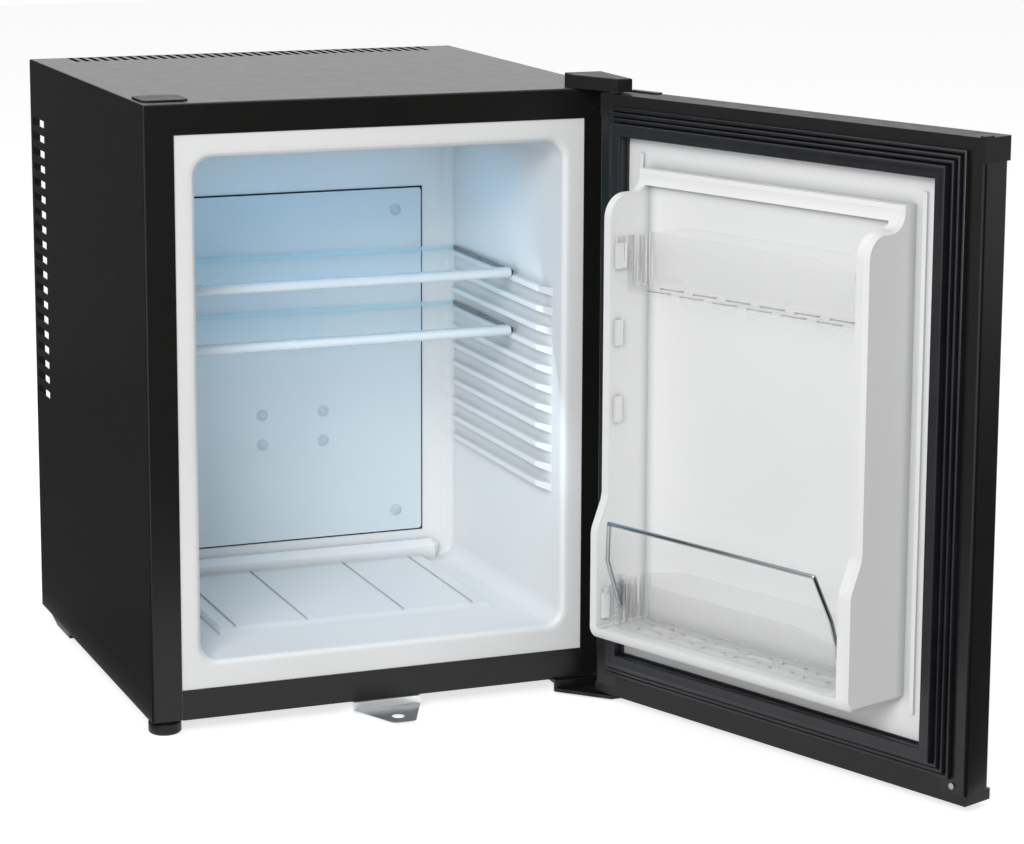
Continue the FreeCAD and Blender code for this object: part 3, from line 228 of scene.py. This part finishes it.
def extruded():
    """Aluminium with die lines along the fins."""
    f = Finish("aluminium", Metallic=1.0)
    lines = f.noise(900.0, 3.0, stretch=(1.0, 1.0, 0.012))
    f.tint(lines, (0.60, 0.61, 0.62), (0.78, 0.79, 0.80))
    f.rough(f.noise(80.0, 3.0), 0.28, 0.44)
    f.bump(lines, 0.14, 0.0003)
    return f.mat


def fired_ceramic():
    f = Finish("ceramic", Specular_IOR_Level=0.45)
    f.tint(f.noise(300.0, 4.0), (0.72, 0.72, 0.70), (0.82, 0.82, 0.80))
    f.rough(f.noise(150.0, 2.0), 0.45, 0.6)
    f.bump(f.noise(1600.0, 2.0), 0.15, 0.0002)
    return f.mat


def moulded_black(name, low, high, roughs, grain):
    """Spark-eroded mould texture on dark plastic."""
    f = Finish(name, Specular_IOR_Level=0.30)
    f.tint(f.noise(14.0, 3.0), low, high)
    f.rough(f.noise(90.0, 3.0), *roughs)
    f.bump(f.cells(1500.0), grain, 0.0003)
    return f.mat


def circuit_green():
    f = Finish("board", Specular_IOR_Level=0.5)
    lanes = f.cells(150.0, stretch=(1.0, 0.02, 1.0))
    f.tint(lanes, (0.010, 0.085, 0.030), (0.020, 0.17, 0.060), 0.28, 0.42)
    f.rough(f.noise(120.0, 2.0), 0.28, 0.4)
    f.bump(lanes, 0.2, 0.0002)
    return f.mat


def lamp_diffuser():
    """Frosted lens with fine ribs along it, lit from inside."""
    rib_pitch = 0.002
    f = Finish("lamp", Roughness=0.3, Emission_Strength=1.4)
    ribs = f.math("SINE", f.math("MULTIPLY", f.axis("Y"), 2 * math.pi / rib_pitch))
    f.tint(f.noise(30.0, 2.0), (0.70, 0.82, 0.92), (0.80, 0.90, 0.97))
    f.tint(ribs, (0.22, 0.66, 0.95), (0.36, 0.78, 1.0), 0.0, 1.0, key="Emission Color")
    f.bump(ribs, 0.35, 0.0004)
    return f.mat


def clear_sheet(name, flat, alphas, roughs, sparkle):
    """Clear sheet that shows more of itself at a slant. Its colour and alpha come back for edges."""
    f = Finish(name, Specular_IOR_Level=0.6)
    f.rough(f.noise(40.0, 2.0), *roughs)
    f.bump(f.noise(30.0, 2.0), sparkle, 0.0006)
    slant = f.add("ShaderNodeLayerWeight", Blend=SLANT_BLEND).outputs["Facing"]
    alpha = f.spread(slant, *alphas, *SLANT_SPAN)
    return f, f.tint(f.noise(20.0, 2.0), tuple(SHEET_SHADE * c for c in flat), flat), alpha


def show_edges(f, colour, alpha, rows):
    """Each row has a mask, and the colour and alpha of what lies under it."""
    for mask, edge, shown in rows:
        colour = f.mix(mask, colour, edge)
        alpha = f.math("MAXIMUM", alpha, f.math("MULTIPLY", mask, shown))
    f.link(colour, "Base Color")
    f.link(alpha, "Alpha")
    return f.mat


def float_glass():
    """Painted shade on the cut edges at the sides and the front, and a painted pale-blue lit edge at the back.
    """
    f, colour, alpha = clear_sheet("glass", flat=(0.80, 0.93, 0.97), alphas=(0.05, 0.24),
                                   roughs=(0.02, 0.05), sparkle=0.01)
    x, y = f.axis("X"), f.axis("Y")
    # painted light: the back edge is coloured pale blue as if lit by the blue lamp. Painted shade: the side
    # and front edges are near black
    painted_pale, pale_alpha = (0.42, 0.70, 0.80), 0.70
    painted_dark, dark_alpha = (0.012, 0.030, 0.036), 0.95
    return show_edges(f, colour, alpha, (
        (f.math("GREATER_THAN", y, SHEET_BACK), painted_pale, pale_alpha),
        (f.math("GREATER_THAN", f.math("ABSOLUTE", x), SHEET_SIDE), painted_dark, dark_alpha),
        (f.math("LESS_THAN", y, SHEET_FRONT), painted_dark, dark_alpha)))


def clear_styrene():
    """Painted reflection as grey lines on the bevels round the rims and the slots, and painted highlights and
    painted shade as upright streaks at the moulded ends.
    """
    f, colour, alpha = clear_sheet("clear_plastic", flat=(0.90, 0.91, 0.92), alphas=(0.015, 0.15),
                                   roughs=(0.05, 0.10), sparkle=0.01)
    normal = f.add("ShaderNodeTexCoord").outputs["Normal"]
    rise = f.math("ABSOLUTE", f.add("ShaderNodeSeparateXYZ", Vector=normal).outputs["Z"])
    slope_low, slope_high = 0.3, 0.93
    # painted reflection: the bevel faces round the rims and the slots get grey lines, where real clear plastic
    # catches and bends the light
    broken = f.math("MULTIPLY", f.math("GREATER_THAN", rise, slope_low), f.math("LESS_THAN", rise, slope_high))
    across = f.math("MULTIPLY", f.math("SUBTRACT", f.axis("X"), HINGE.x), math.cos(SWING))
    out = f.math("MULTIPLY", f.math("SUBTRACT", f.axis("Y"), HINGE.y), math.sin(SWING))
    along = f.math("ADD", f.math("ADD", across, out), HINGE.x)
    end = f.math("GREATER_THAN", f.math("ABSOLUTE", along), BIN_END)
    # painted highlights and painted shade: upright light and dark streaks at the moulded ends, for the
    # reflections in their curved corners
    streaks = f.noise(330.0, 2.0, stretch=(1.0, 1.0, 0.03))
    bright_from, dark_to = 0.57, 0.42
    painted_bright = f.math("MULTIPLY", end, f.math("GREATER_THAN", streaks, bright_from))
    painted_dark = f.math("MULTIPLY", end, f.math("LESS_THAN", streaks, dark_to))
    return show_edges(f, colour, alpha, (
        (painted_dark, (0.50, 0.52, 0.54), 0.30),
        (painted_bright, (0.97, 0.97, 0.97), 0.60),
        (broken, (0.60, 0.63, 0.66), 0.50)))


def rubber():
    f = Finish("gasket_rubber", Specular_IOR_Level=0.42)
    f.tint(f.noise(25.0, 3.0), (0.0058, 0.0062, 0.0085), (0.0100, 0.0106, 0.0140))
    f.rough(f.noise(70.0, 3.0), 0.30, 0.42)
    f.bump(f.noise(420.0, 2.0), 0.10, 0.0004)
    return f.mat


def plated(name, low, high):
    f = Finish(name, Metallic=1.0)
    f.tint(f.noise(40.0, 3.0), low, high)
    f.rough(f.noise(160.0, 4.0), 0.07, 0.16)
    f.bump(f.noise(260.0, 2.0), 0.04, 0.0003)
    return f.mat


def satin_plate():
    """Nickel plate over pressed steel, brushed across."""
    f = Finish("satin_plate", Metallic=1.0)
    strokes = f.noise(900.0, 3.0, stretch=(0.03, 1.0, 1.0))
    f.tint(strokes, (0.74, 0.75, 0.76), (0.86, 0.87, 0.88))
    f.rough(strokes, 0.30, 0.40)
    f.bump(strokes, 0.05, 0.0003)
    return f.mat


def acetal():
    f = Finish("bearing_plastic", Subsurface_Weight=0.1, Specular_IOR_Level=0.5)
    f.tint(f.noise(80.0, 3.0), (0.70, 0.69, 0.64), (0.78, 0.77, 0.72))
    f.rough(f.noise(120.0, 2.0), 0.32, 0.45)
    f.bump(f.noise(800.0, 2.0), 0.08, 0.0003)
    return f.mat


finishes = {
    "black_steel": powder_coat("black_steel", seams=False),
    "zinc_steel": galvanised(),
    "black_zinc": dark_zinc(),
    # the liner gets painted shade in its hollows
    "white_liner": formed_white("white_liner", (0.780, 0.782, 0.782), (0.815, 0.817, 0.817),
                                roughs=(0.33, 0.38), peel=0.04, painted_hollow_shade=0.60),
    "foam": foam(),
    "white_plate": painted_plate(),
    "aluminium": extruded(),
    "ceramic": fired_ceramic(),
    "black_plastic": moulded_black("black_plastic", (0.0062, 0.0060, 0.0057), (0.0090, 0.0087, 0.0083),
                                   roughs=(0.38, 0.48), grain=0.20),
    "board": circuit_green(),
    "lamp": lamp_diffuser(),
    "glass": float_glass(),
    # the trims' white is darkened and tinted blue-grey: painted shade and painted blue lamp light
    "white_trim": formed_white("white_trim", (0.54, 0.58, 0.61), (0.59, 0.63, 0.66),
                               roughs=(0.24, 0.28), peel=0.03),
    "gasket_rubber": rubber(),
    "clear_plastic": clear_styrene(),
    "chrome": plated("chrome", (0.68, 0.69, 0.70), (0.80, 0.81, 0.82)),
    "bearing_plastic": acetal(),
}


def dress(node, material):
    data = nodes[node].data
    data.materials.clear()
    data.materials.append(material)


for row in frame["record"]["subparts"]:
    dress(row["node"], finishes[row["material_slot"]])
dress("outer_shell", powder_coat("black_steel_frame", seams=True))
dress("lock_striker", satin_plate())
# painted reflection: the bail and the cap screw get a darkened chrome colour, so they look as if they mirror a
# dark studio
DARKENED_CHROME = plated("bail_chrome", (0.30, 0.31, 0.33), (0.38, 0.39, 0.41))
dress("cap_screw", DARKENED_CHROME)


# Broken and rounded edges of formed and moulded pieces. Widths in millimetres, angles in degrees
WELD_REACH = 0.00001
NORMAL_WEIGHT = 80
SOFT_EDGES = (("upper_bin", 0.45, 1, 40.0), ("lower_bin", 0.45, 1, 40.0), ("door_liner", 1.4, 3, 28.0),
              ("cabinet_liner", 0.8, 3, 20.0))


def soften(node, width, segments, angle):
    obj = nodes[node]
    weld = obj.modifiers.new("weld", "WELD")
    weld.merge_threshold = WELD_REACH
    bevel = obj.modifiers.new("soft_edges", "BEVEL")
    bevel.width = width * MM
    bevel.segments = segments
    bevel.limit_method = "ANGLE"
    bevel.angle_limit = math.radians(angle)
    even = obj.modifiers.new("even_normals", "WEIGHTED_NORMAL")
    even.weight = NORMAL_WEIGHT


for edges in SOFT_EDGES:
    soften(*edges)


# Mesh pieces
SMOOTH_ANGLE = math.radians(35.0)


def piece(name, points, faces, material, body, slot, replaced=(), at_door=False):
    """A new mesh that rides on a body. Points in millimetres, at the shut door's places where at_door."""
    mesh = bpy.data.meshes.new(name)
    mesh.from_pydata([Vector(p) * MM for p in points], [], faces)
    mesh.validate()
    if at_door:
        mesh.transform(OPEN)
    mesh.polygons.foreach_set("use_smooth", [True] * len(mesh.polygons))
    mesh.set_sharp_from_angle(angle=SMOOTH_ANGLE)
    mesh.materials.append(material)
    obj = bpy.data.objects.new(name, mesh)
    scene.collection.objects.link(obj)
    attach(obj, body)
    if replaced:
        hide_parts(*replaced)


def frame_sweep(section, low_x, high_x, low_z, high_z):
    """Closed section of (inset, y) carried round a rectangle with mitred corners."""
    points, faces = [], []
    count = len(section)
    for sx, sz in ((-1, -1), (1, -1), (1, 1), (-1, 1)):
        for inset, y in section:
            x = low_x + inset if sx < 0 else high_x - inset
            z = low_z + inset if sz < 0 else high_z - inset
            points.append((x, y, z))
    for corner in range(4):
        a, b = corner * count, (corner + 1) % 4 * count
        for k in range(count):
            n = (k + 1) % count
            faces.append((a + k, b + k, b + n, a + n))
    return points, faces


def lathe(profile, steps, place):
    """Profile of (radius, height), from the rim to the middle, spun about an axis. place puts a point."""
    points, faces = [], []
    for radius, height in profile:
        for i in range(steps):
            angle = 2 * math.pi * i / steps
            points.append(place(radius * math.cos(angle), radius * math.sin(angle), height))
    for row in range(len(profile) - 1):
        for i in range(steps):
            n = (i + 1) % steps
            faces.append((row * steps + i, row * steps + n, (row + 1) * steps + n, (row + 1) * steps + i))
    faces.append(tuple((len(profile) - 1) * steps + i for i in range(steps)))
    faces.append(tuple(reversed(range(steps))))
    return points, faces


def merged(parts):
    points, faces = [], []
    for p, f in parts:
        base = len(points)
        points += p
        faces += [tuple(base + i for i in face) for face in f]
    return points, faces


def arc(cx, cy, radius, start, end, steps):
    """Points on an arc, from one angle to the other, in degrees."""
    angles = [math.radians(start + (end - start) * i / steps) for i in range(steps + 1)]
    return [(cx + radius * math.cos(a), cy + radius * math.sin(a)) for a in angles]


# Door seal: three bellows folds, a flat magnet pocket with round shoulders and a small inner lip
SEAL_HALF, SEAL_LOW, SEAL_HIGH = 186.0, 25.5, 503.5
SEAL_FOOT, SEAL_BACK, SEAL_FACE = -206.8, -205.0, -193.3
seal = [(0.0, SEAL_FOOT), (0.0, SEAL_FOOT + 2.6)]
seal += arc(1.6, SEAL_FOOT + 2.6, 1.6, 180, 20, 6)
seal += [(3.9, SEAL_FOOT + 2.2)]
seal += arc(5.6, SEAL_FOOT + 4.6, 1.7, 190, 30, 6)
seal += [(8.0, SEAL_FOOT + 4.0)]
seal += arc(9.6, SEAL_FOOT + 6.8, 1.6, 190, 30, 6)
seal += [(11.6, SEAL_FOOT + 6.3), (12.0, SEAL_FACE - 4.4), (11.8, SEAL_FACE - 2.4)]
seal += arc(13.3, SEAL_FACE - 1.5, 1.5, 190, 90, 5)
seal += [(16.3, SEAL_FACE - 0.35), (17.8, SEAL_FACE - 0.35)]
seal += arc(20.6, SEAL_FACE - 1.5, 1.5, 90, -10, 5)
seal += [(21.9, SEAL_FACE - 3.4), (21.2, SEAL_FACE - 5.4), (21.4, SEAL_FACE - 7.2)]
seal += arc(22.1, SEAL_BACK + 2.4, 1.0, 120, -60, 6)
seal += [(22.4, SEAL_BACK), (7.0, SEAL_BACK), (7.0, SEAL_FOOT)]
piece("door_seal", *frame_sweep(seal, -SEAL_HALF, SEAL_HALF, SEAL_LOW, SEAL_HIGH), finishes["gasket_rubber"],
      "door", "gasket_rubber", ("door_gasket",), at_door=True)

# Push studs of the cooling plate: a flat rim, a domed crown and a shallow dimple
STUD_STEPS = 40
STUD_SEAT = 57.0
STUD_PLACES = ((97.5, 107.0), (97.5, 383.0), (28.5, 177.0), (28.5, 204.0))
stud_profile = [(5.25, -0.2), (5.25, 0.55), (5.0, 0.9), (4.5, 1.05), (3.75, 1.1), (3.45, 1.45),
                (3.2, 1.9), (2.6, 2.25), (1.7, 2.38), (1.15, 2.34), (0.85, 2.05), (0.45, 1.95)]
studs = []
for x, z in [(side * across, rise) for side in (-1, 1) for across, rise in STUD_PLACES]:
    studs.append(lathe(stud_profile, STUD_STEPS, lambda u, v, h, x=x, z=z: (x + u, STUD_SEAT - h, z + v)))
# the studs' white is darkened and tinted blue-grey: painted shade and painted blue lamp light
stud_painted_shade = formed_white("stud_painted_shade", (0.50, 0.58, 0.64), (0.56, 0.64, 0.70), roughs=(0.25, 0.30), peel=0.03)
piece("plate_studs", *merged(studs), stud_painted_shade, "cabinet", "white_trim", ("plate_fixings",))

# Painted shade: a dark strip on the back wall round the cooling plate, in the rubber's black, standing in for
# the shadow in the gap between them
PLATE_HALF, PLATE_LOW, PLATE_HIGH = 122.0, 88.0, 402.0
LINE_WIDTH, LINE_FRONT, LINE_BACK = 1.4, 57.9, 58.9
shadow_strip_section = [(0.0, LINE_BACK), (0.0, LINE_FRONT), (LINE_WIDTH, LINE_FRONT), (LINE_WIDTH, LINE_BACK)]
line_half = PLATE_HALF + LINE_WIDTH
line_low, line_high = PLATE_LOW - LINE_WIDTH, PLATE_HIGH + LINE_WIDTH
piece("plate_shadow_strip", *frame_sweep(shadow_strip_section, -line_half, line_half, line_low, line_high),
      finishes["gasket_rubber"], "cabinet", "gasket_rubber")


# Shelf trims: a round nose and two lips that hold the glass
def extrusion(outline, half, edge):
    """Outline of (y, z, free) run along x. Free points draw in by the edge at the two ends."""
    count = len(outline)
    my = sum(p[0] for p in outline) / count
    mz = sum(p[1] for p in outline) / count
    points = []
    for x, draw in ((-half, edge), (edge - half, 0.0), (half - edge, 0.0), (half, edge)):
        for y, z, free in outline:
            away = math.hypot(y - my, z - mz)
            share = 1.0 - (draw / away if free else 0.0)
            points.append((x, my + (y - my) * share, mz + (z - mz) * share))
    faces = [tuple(reversed(range(count))), tuple(3 * count + k for k in range(count))]
    for row in range(3):
        for k in range(count):
            n = (k + 1) % count
            faces.append((row * count + k, row * count + n, (row + 1) * count + n, (row + 1) * count + k))
    return points, faces


NOSE, NOSE_MIDDLE, NOSE_STEPS = 4.2, -97.2, 20
TRIM_BACK, GLASS_FRONT, GLASS_THICK = -90.4, -95.4, 4.0
TRIM_HALF, TRIM_END, LIP_EDGE = 147.5, 0.7, 0.8
SHELF_LEVELS = (("upper_shelf", 345.3), ("lower_shelf", 294.9))
for name, level in SHELF_LEVELS:
    middle = level + GLASS_THICK / 2
    nose = [(y, middle + z, True) for y, z in arc(NOSE_MIDDLE, 0.0, NOSE, 90, 270, NOSE_STEPS)]
    lips = [(TRIM_BACK - LIP_EDGE, middle - NOSE, True), (TRIM_BACK, middle - NOSE + LIP_EDGE, True),
            (TRIM_BACK, level, False), (GLASS_FRONT, level, False), (GLASS_FRONT, level + GLASS_THICK, False),
            (TRIM_BACK, level + GLASS_THICK, False), (TRIM_BACK, middle + NOSE - LIP_EDGE, True),
            (TRIM_BACK - LIP_EDGE, middle + NOSE, True)]
    piece(name + "_nose", *extrusion(nose + lips, TRIM_HALF, TRIM_END), finishes["white_trim"], name,
          "white_trim", (name + "_trim",))


# Bottle bail: round wire with bent corners
STRAIGHT = 1e-4


def rounded_path(corners, radius, steps):
    """Corner points with each inner corner bent on an arc."""
    path = [corners[0]]
    for before, here, after in zip(corners, corners[1:], corners[2:]):
        a, b = (before - here).normalized(), (after - here).normalized()
        half = a.angle(b) / 2
        reach = radius / math.tan(half)
        centre = here + (a + b).normalized() * (radius / math.sin(half))
        start, end = here + a * reach - centre, here + b * reach - centre
        for i in range(steps + 1):
            path.append(centre + start.slerp(end, i / steps) if start.angle(end) > STRAIGHT else here)
    path.append(corners[-1])
    return path


def tube(path, radius, sides):
    points, faces = [], []
    side = None
    for i, here in enumerate(path):
        run = (path[min(i + 1, len(path) - 1)] - path[max(i - 1, 0)]).normalized()
        side = (side - run * side.dot(run)).normalized() if side else run.orthogonal().normalized()
        cross = run.cross(side)
        for k in range(sides):
            angle = 2 * math.pi * k / sides
            points.append(here + side * (radius * math.cos(angle)) + cross * (radius * math.sin(angle)))
    for row in range(len(path) - 1):
        for k in range(sides):
            n = (k + 1) % sides
            faces.append((row * sides + k, row * sides + n, (row + 1) * sides + n, (row + 1) * sides + k))
    faces.append(tuple(reversed(range(sides))))
    faces.append(tuple((len(path) - 1) * sides + k for k in range(sides)))
    return points, faces


BAIL_HALF, BAIL_BEND, BEND_STEPS = 119.7, 11.0, 10
WIRE_RADIUS, WIRE_SIDES = 1.8, 16
bail_leg = [(-156.0, 107.3), (-156.0, 135.3), (-150.5, 151.3), (-127.0, 189.3)]
bail_corners = [Vector((-BAIL_HALF, y, z)) for y, z in bail_leg]
bail_corners += [Vector((BAIL_HALF, y, z)) for y, z in reversed(bail_leg)]
piece("bail_wire", *tube(rounded_path(bail_corners, BAIL_BEND, BEND_STEPS), WIRE_RADIUS, WIRE_SIDES),
      DARKENED_CHROME, "lower_door_bin", "chrome", ("bottle_bail",), at_door=True)


# Camera at the photograph's viewpoint. Angles in degrees, lens and sensor in millimetres
CAMERA_PLACE = (-0.82892, -2.55806, 0.79153)
CAMERA_TURN = (21.679, 10.388, -0.244)
CAMERA_LENS, CAMERA_SENSOR, CAMERA_SHIFT, CAMERA_FAR = 109.98, 36.0, -0.1, 60.0
azimuth, tilt, roll = (math.radians(a) for a in CAMERA_TURN)
ahead = Vector((math.sin(azimuth) * math.cos(tilt), math.cos(azimuth) * math.cos(tilt), -math.sin(tilt)))
right = Vector((math.cos(azimuth), -math.sin(azimuth), 0.0))
up = right.cross(ahead)
cam_x = right * math.cos(roll) - up * math.sin(roll)
cam_y = right * math.sin(roll) + up * math.cos(roll)
camera_data = bpy.data.cameras.new("camera")
camera_data.sensor_width = CAMERA_SENSOR
camera_data.sensor_fit = "HORIZONTAL"
camera_data.lens = CAMERA_LENS
camera_data.shift_y = CAMERA_SHIFT
camera_data.clip_end = CAMERA_FAR
camera = bpy.data.objects.new("camera", camera_data)
camera.matrix_world = Matrix.Translation(CAMERA_PLACE) @ Matrix(
    [[cam_x[i], cam_y[i], -ahead[i]] for i in range(3)]).to_4x4()
scene.collection.objects.link(camera)
scene.camera = camera


# Studio: pale floor, white surround, soft lights
WORLD_LIGHT, WORLD_SEEN = 0.37, 1.0
FLOOR_REACH, FLOOR_GREY, FLOOR_GLOW = 7, (0.60, 0.60, 0.60, 1.0), 0.72
WHITE = (1.0, 1.0, 1.0)


def seen_white(tree):
    """True for rays that come from the camera, a reflection or a clear piece."""
    path = tree.nodes.new("ShaderNodeLightPath")
    total = path.outputs["Is Camera Ray"]
    for key in ("Is Glossy Ray", "Is Transmission Ray"):
        add = tree.nodes.new("ShaderNodeMath")
        add.operation = "MAXIMUM"
        tree.links.new(total, add.inputs[0])
        tree.links.new(path.outputs[key], add.inputs[1])
        total = add.outputs[0]
    return total


world = bpy.data.worlds.new("studio")
scene.world = world
world.use_nodes = True
sky = world.node_tree
back = next(n for n in sky.nodes if n.type == "BACKGROUND")
level_out = sky.nodes.new("ShaderNodeMapRange")
level_out.inputs["To Min"].default_value = WORLD_LIGHT
level_out.inputs["To Max"].default_value = WORLD_SEEN
sky.links.new(seen_white(sky), level_out.inputs["Value"])
sky.links.new(level_out.outputs["Result"], back.inputs["Strength"])
back.inputs["Color"].default_value = (*WHITE, 1.0)

floor_mesh = bpy.data.meshes.new("floor")
floor_corners = [(sx * FLOOR_REACH, sy * FLOOR_REACH, 0) for sx, sy in ((-1, -1), (1, -1), (1, 1), (-1, 1))]
floor_mesh.from_pydata(floor_corners, [], [(0, 1, 2, 3)])
floor = bpy.data.objects.new("floor", floor_mesh)
scene.collection.objects.link(floor)
floor_mat = bpy.data.materials.new("studio_floor")
floor_mat.use_nodes = True
ground = floor_mat.node_tree
ground.nodes.clear()
matte = ground.nodes.new("ShaderNodeBsdfDiffuse")
matte.inputs["Color"].default_value = FLOOR_GREY
glow = ground.nodes.new("ShaderNodeEmission")
glow_level = ground.nodes.new("ShaderNodeMapRange")
glow_level.inputs["To Max"].default_value = FLOOR_GLOW
ground.links.new(seen_white(ground), glow_level.inputs["Value"])
ground.links.new(glow_level.outputs["Result"], glow.inputs["Strength"])
joined = ground.nodes.new("ShaderNodeAddShader")
ground.links.new(matte.outputs[0], joined.inputs[0])
ground.links.new(glow.outputs[0], joined.inputs[1])
ground_out = ground.nodes.new("ShaderNodeOutputMaterial")
ground.links.new(joined.outputs[0], ground_out.inputs["Surface"])
floor_mesh.materials.append(floor_mat)


def soft_light(name, place, aim, size, power, colour=WHITE):
    """Area light in metres and watts that the camera doesn't see."""
    data = bpy.data.lights.new(name, "AREA")
    data.shape = "RECTANGLE"
    data.size, data.size_y = size
    data.energy = power
    data.color = colour
    obj = bpy.data.objects.new(name, data)
    obj.location = place
    obj.rotation_euler = (Vector(aim) - Vector(place)).to_track_quat("-Z", "Y").to_euler()
    obj.visible_camera = False
    scene.collection.objects.link(obj)


# The last two stand in the cabinet: the blue lamp in the ceiling and what the walls throw back
soft_light("key", (-1.9, -2.9, 2.2), (0.05, -0.15, 0.25), (1.8, 1.6), 58.0)
soft_light("front", (-1.8, -2.6, 1.40), (0.05, 0.0, 0.2), (1.6, 1.2), 28.0)
soft_light("top", (0.1, 0.2, 3.2), (0.0, 0.0, 0.3), (2.2, 2.2), 26.0)
soft_light("cabin", (0.0, -0.05, 0.4550), (0.0, -0.05, 0.0), (0.24, 0.14), 0.10, (0.12, 0.58, 1.0))
soft_light("cabin_fill", (0.02, -0.185, 0.27), (0.02, 0.06, 0.17), (0.26, 0.20), 0.14, (0.70, 0.89, 1.0))


FELT_DARK, FELT_GREY = 0.02, 0.10
CARD_RISE = 0.003


def dark_card(name, corners, shade=FELT_DARK):
    """Studio flag: out of the picture, it only darkens what the black finish and the chrome reflect."""
    mesh = bpy.data.meshes.new(name)
    mesh.from_pydata(corners, [], [(0, 1, 2, 3)])
    obj = bpy.data.objects.new(name, mesh)
    felt = bpy.data.materials.new(name)
    felt.use_nodes = True
    shader = next(n for n in felt.node_tree.nodes if n.type == "BSDF_PRINCIPLED")
    shader.inputs["Base Color"].default_value = (shade, shade, shade, 1.0)
    shader.inputs["Specular IOR Level"].default_value = 0.0
    mesh.materials.append(felt)
    scene.collection.objects.link(obj)
    for key in ("camera", "diffuse", "transmission", "volume_scatter", "shadow"):
        setattr(obj, "visible_" + key, False)


def standing(start, end, high):
    """Corners of an upright card between two places on the floor."""
    return [(*start, 0.0), (*end, 0.0), (*end, high), (*start, high)]


def lying(low_x, high_x, low_y, high_y):
    """Corners of a card just over the floor."""
    return [(low_x, low_y, CARD_RISE), (high_x, low_y, CARD_RISE), (high_x, high_y, CARD_RISE),
            (low_x, high_y, CARD_RISE)]


dark_card("flag_left", standing((-3.2, 0.9), (-0.25, 1.3), 2.2), FELT_GREY)
dark_card("flag_front", standing((0.05, -1.75), (2.2, -1.35), 0.75))
dark_card("flag_camera", standing((-4.5, -3.6), (0.4, -4.4), 2.0))
dark_card("flag_floor_left", lying(-3.2, -0.205, -0.5, 1.3), FELT_GREY)
dark_card("flag_floor_front", lying(-0.15, 2.4, -1.9, -0.6))
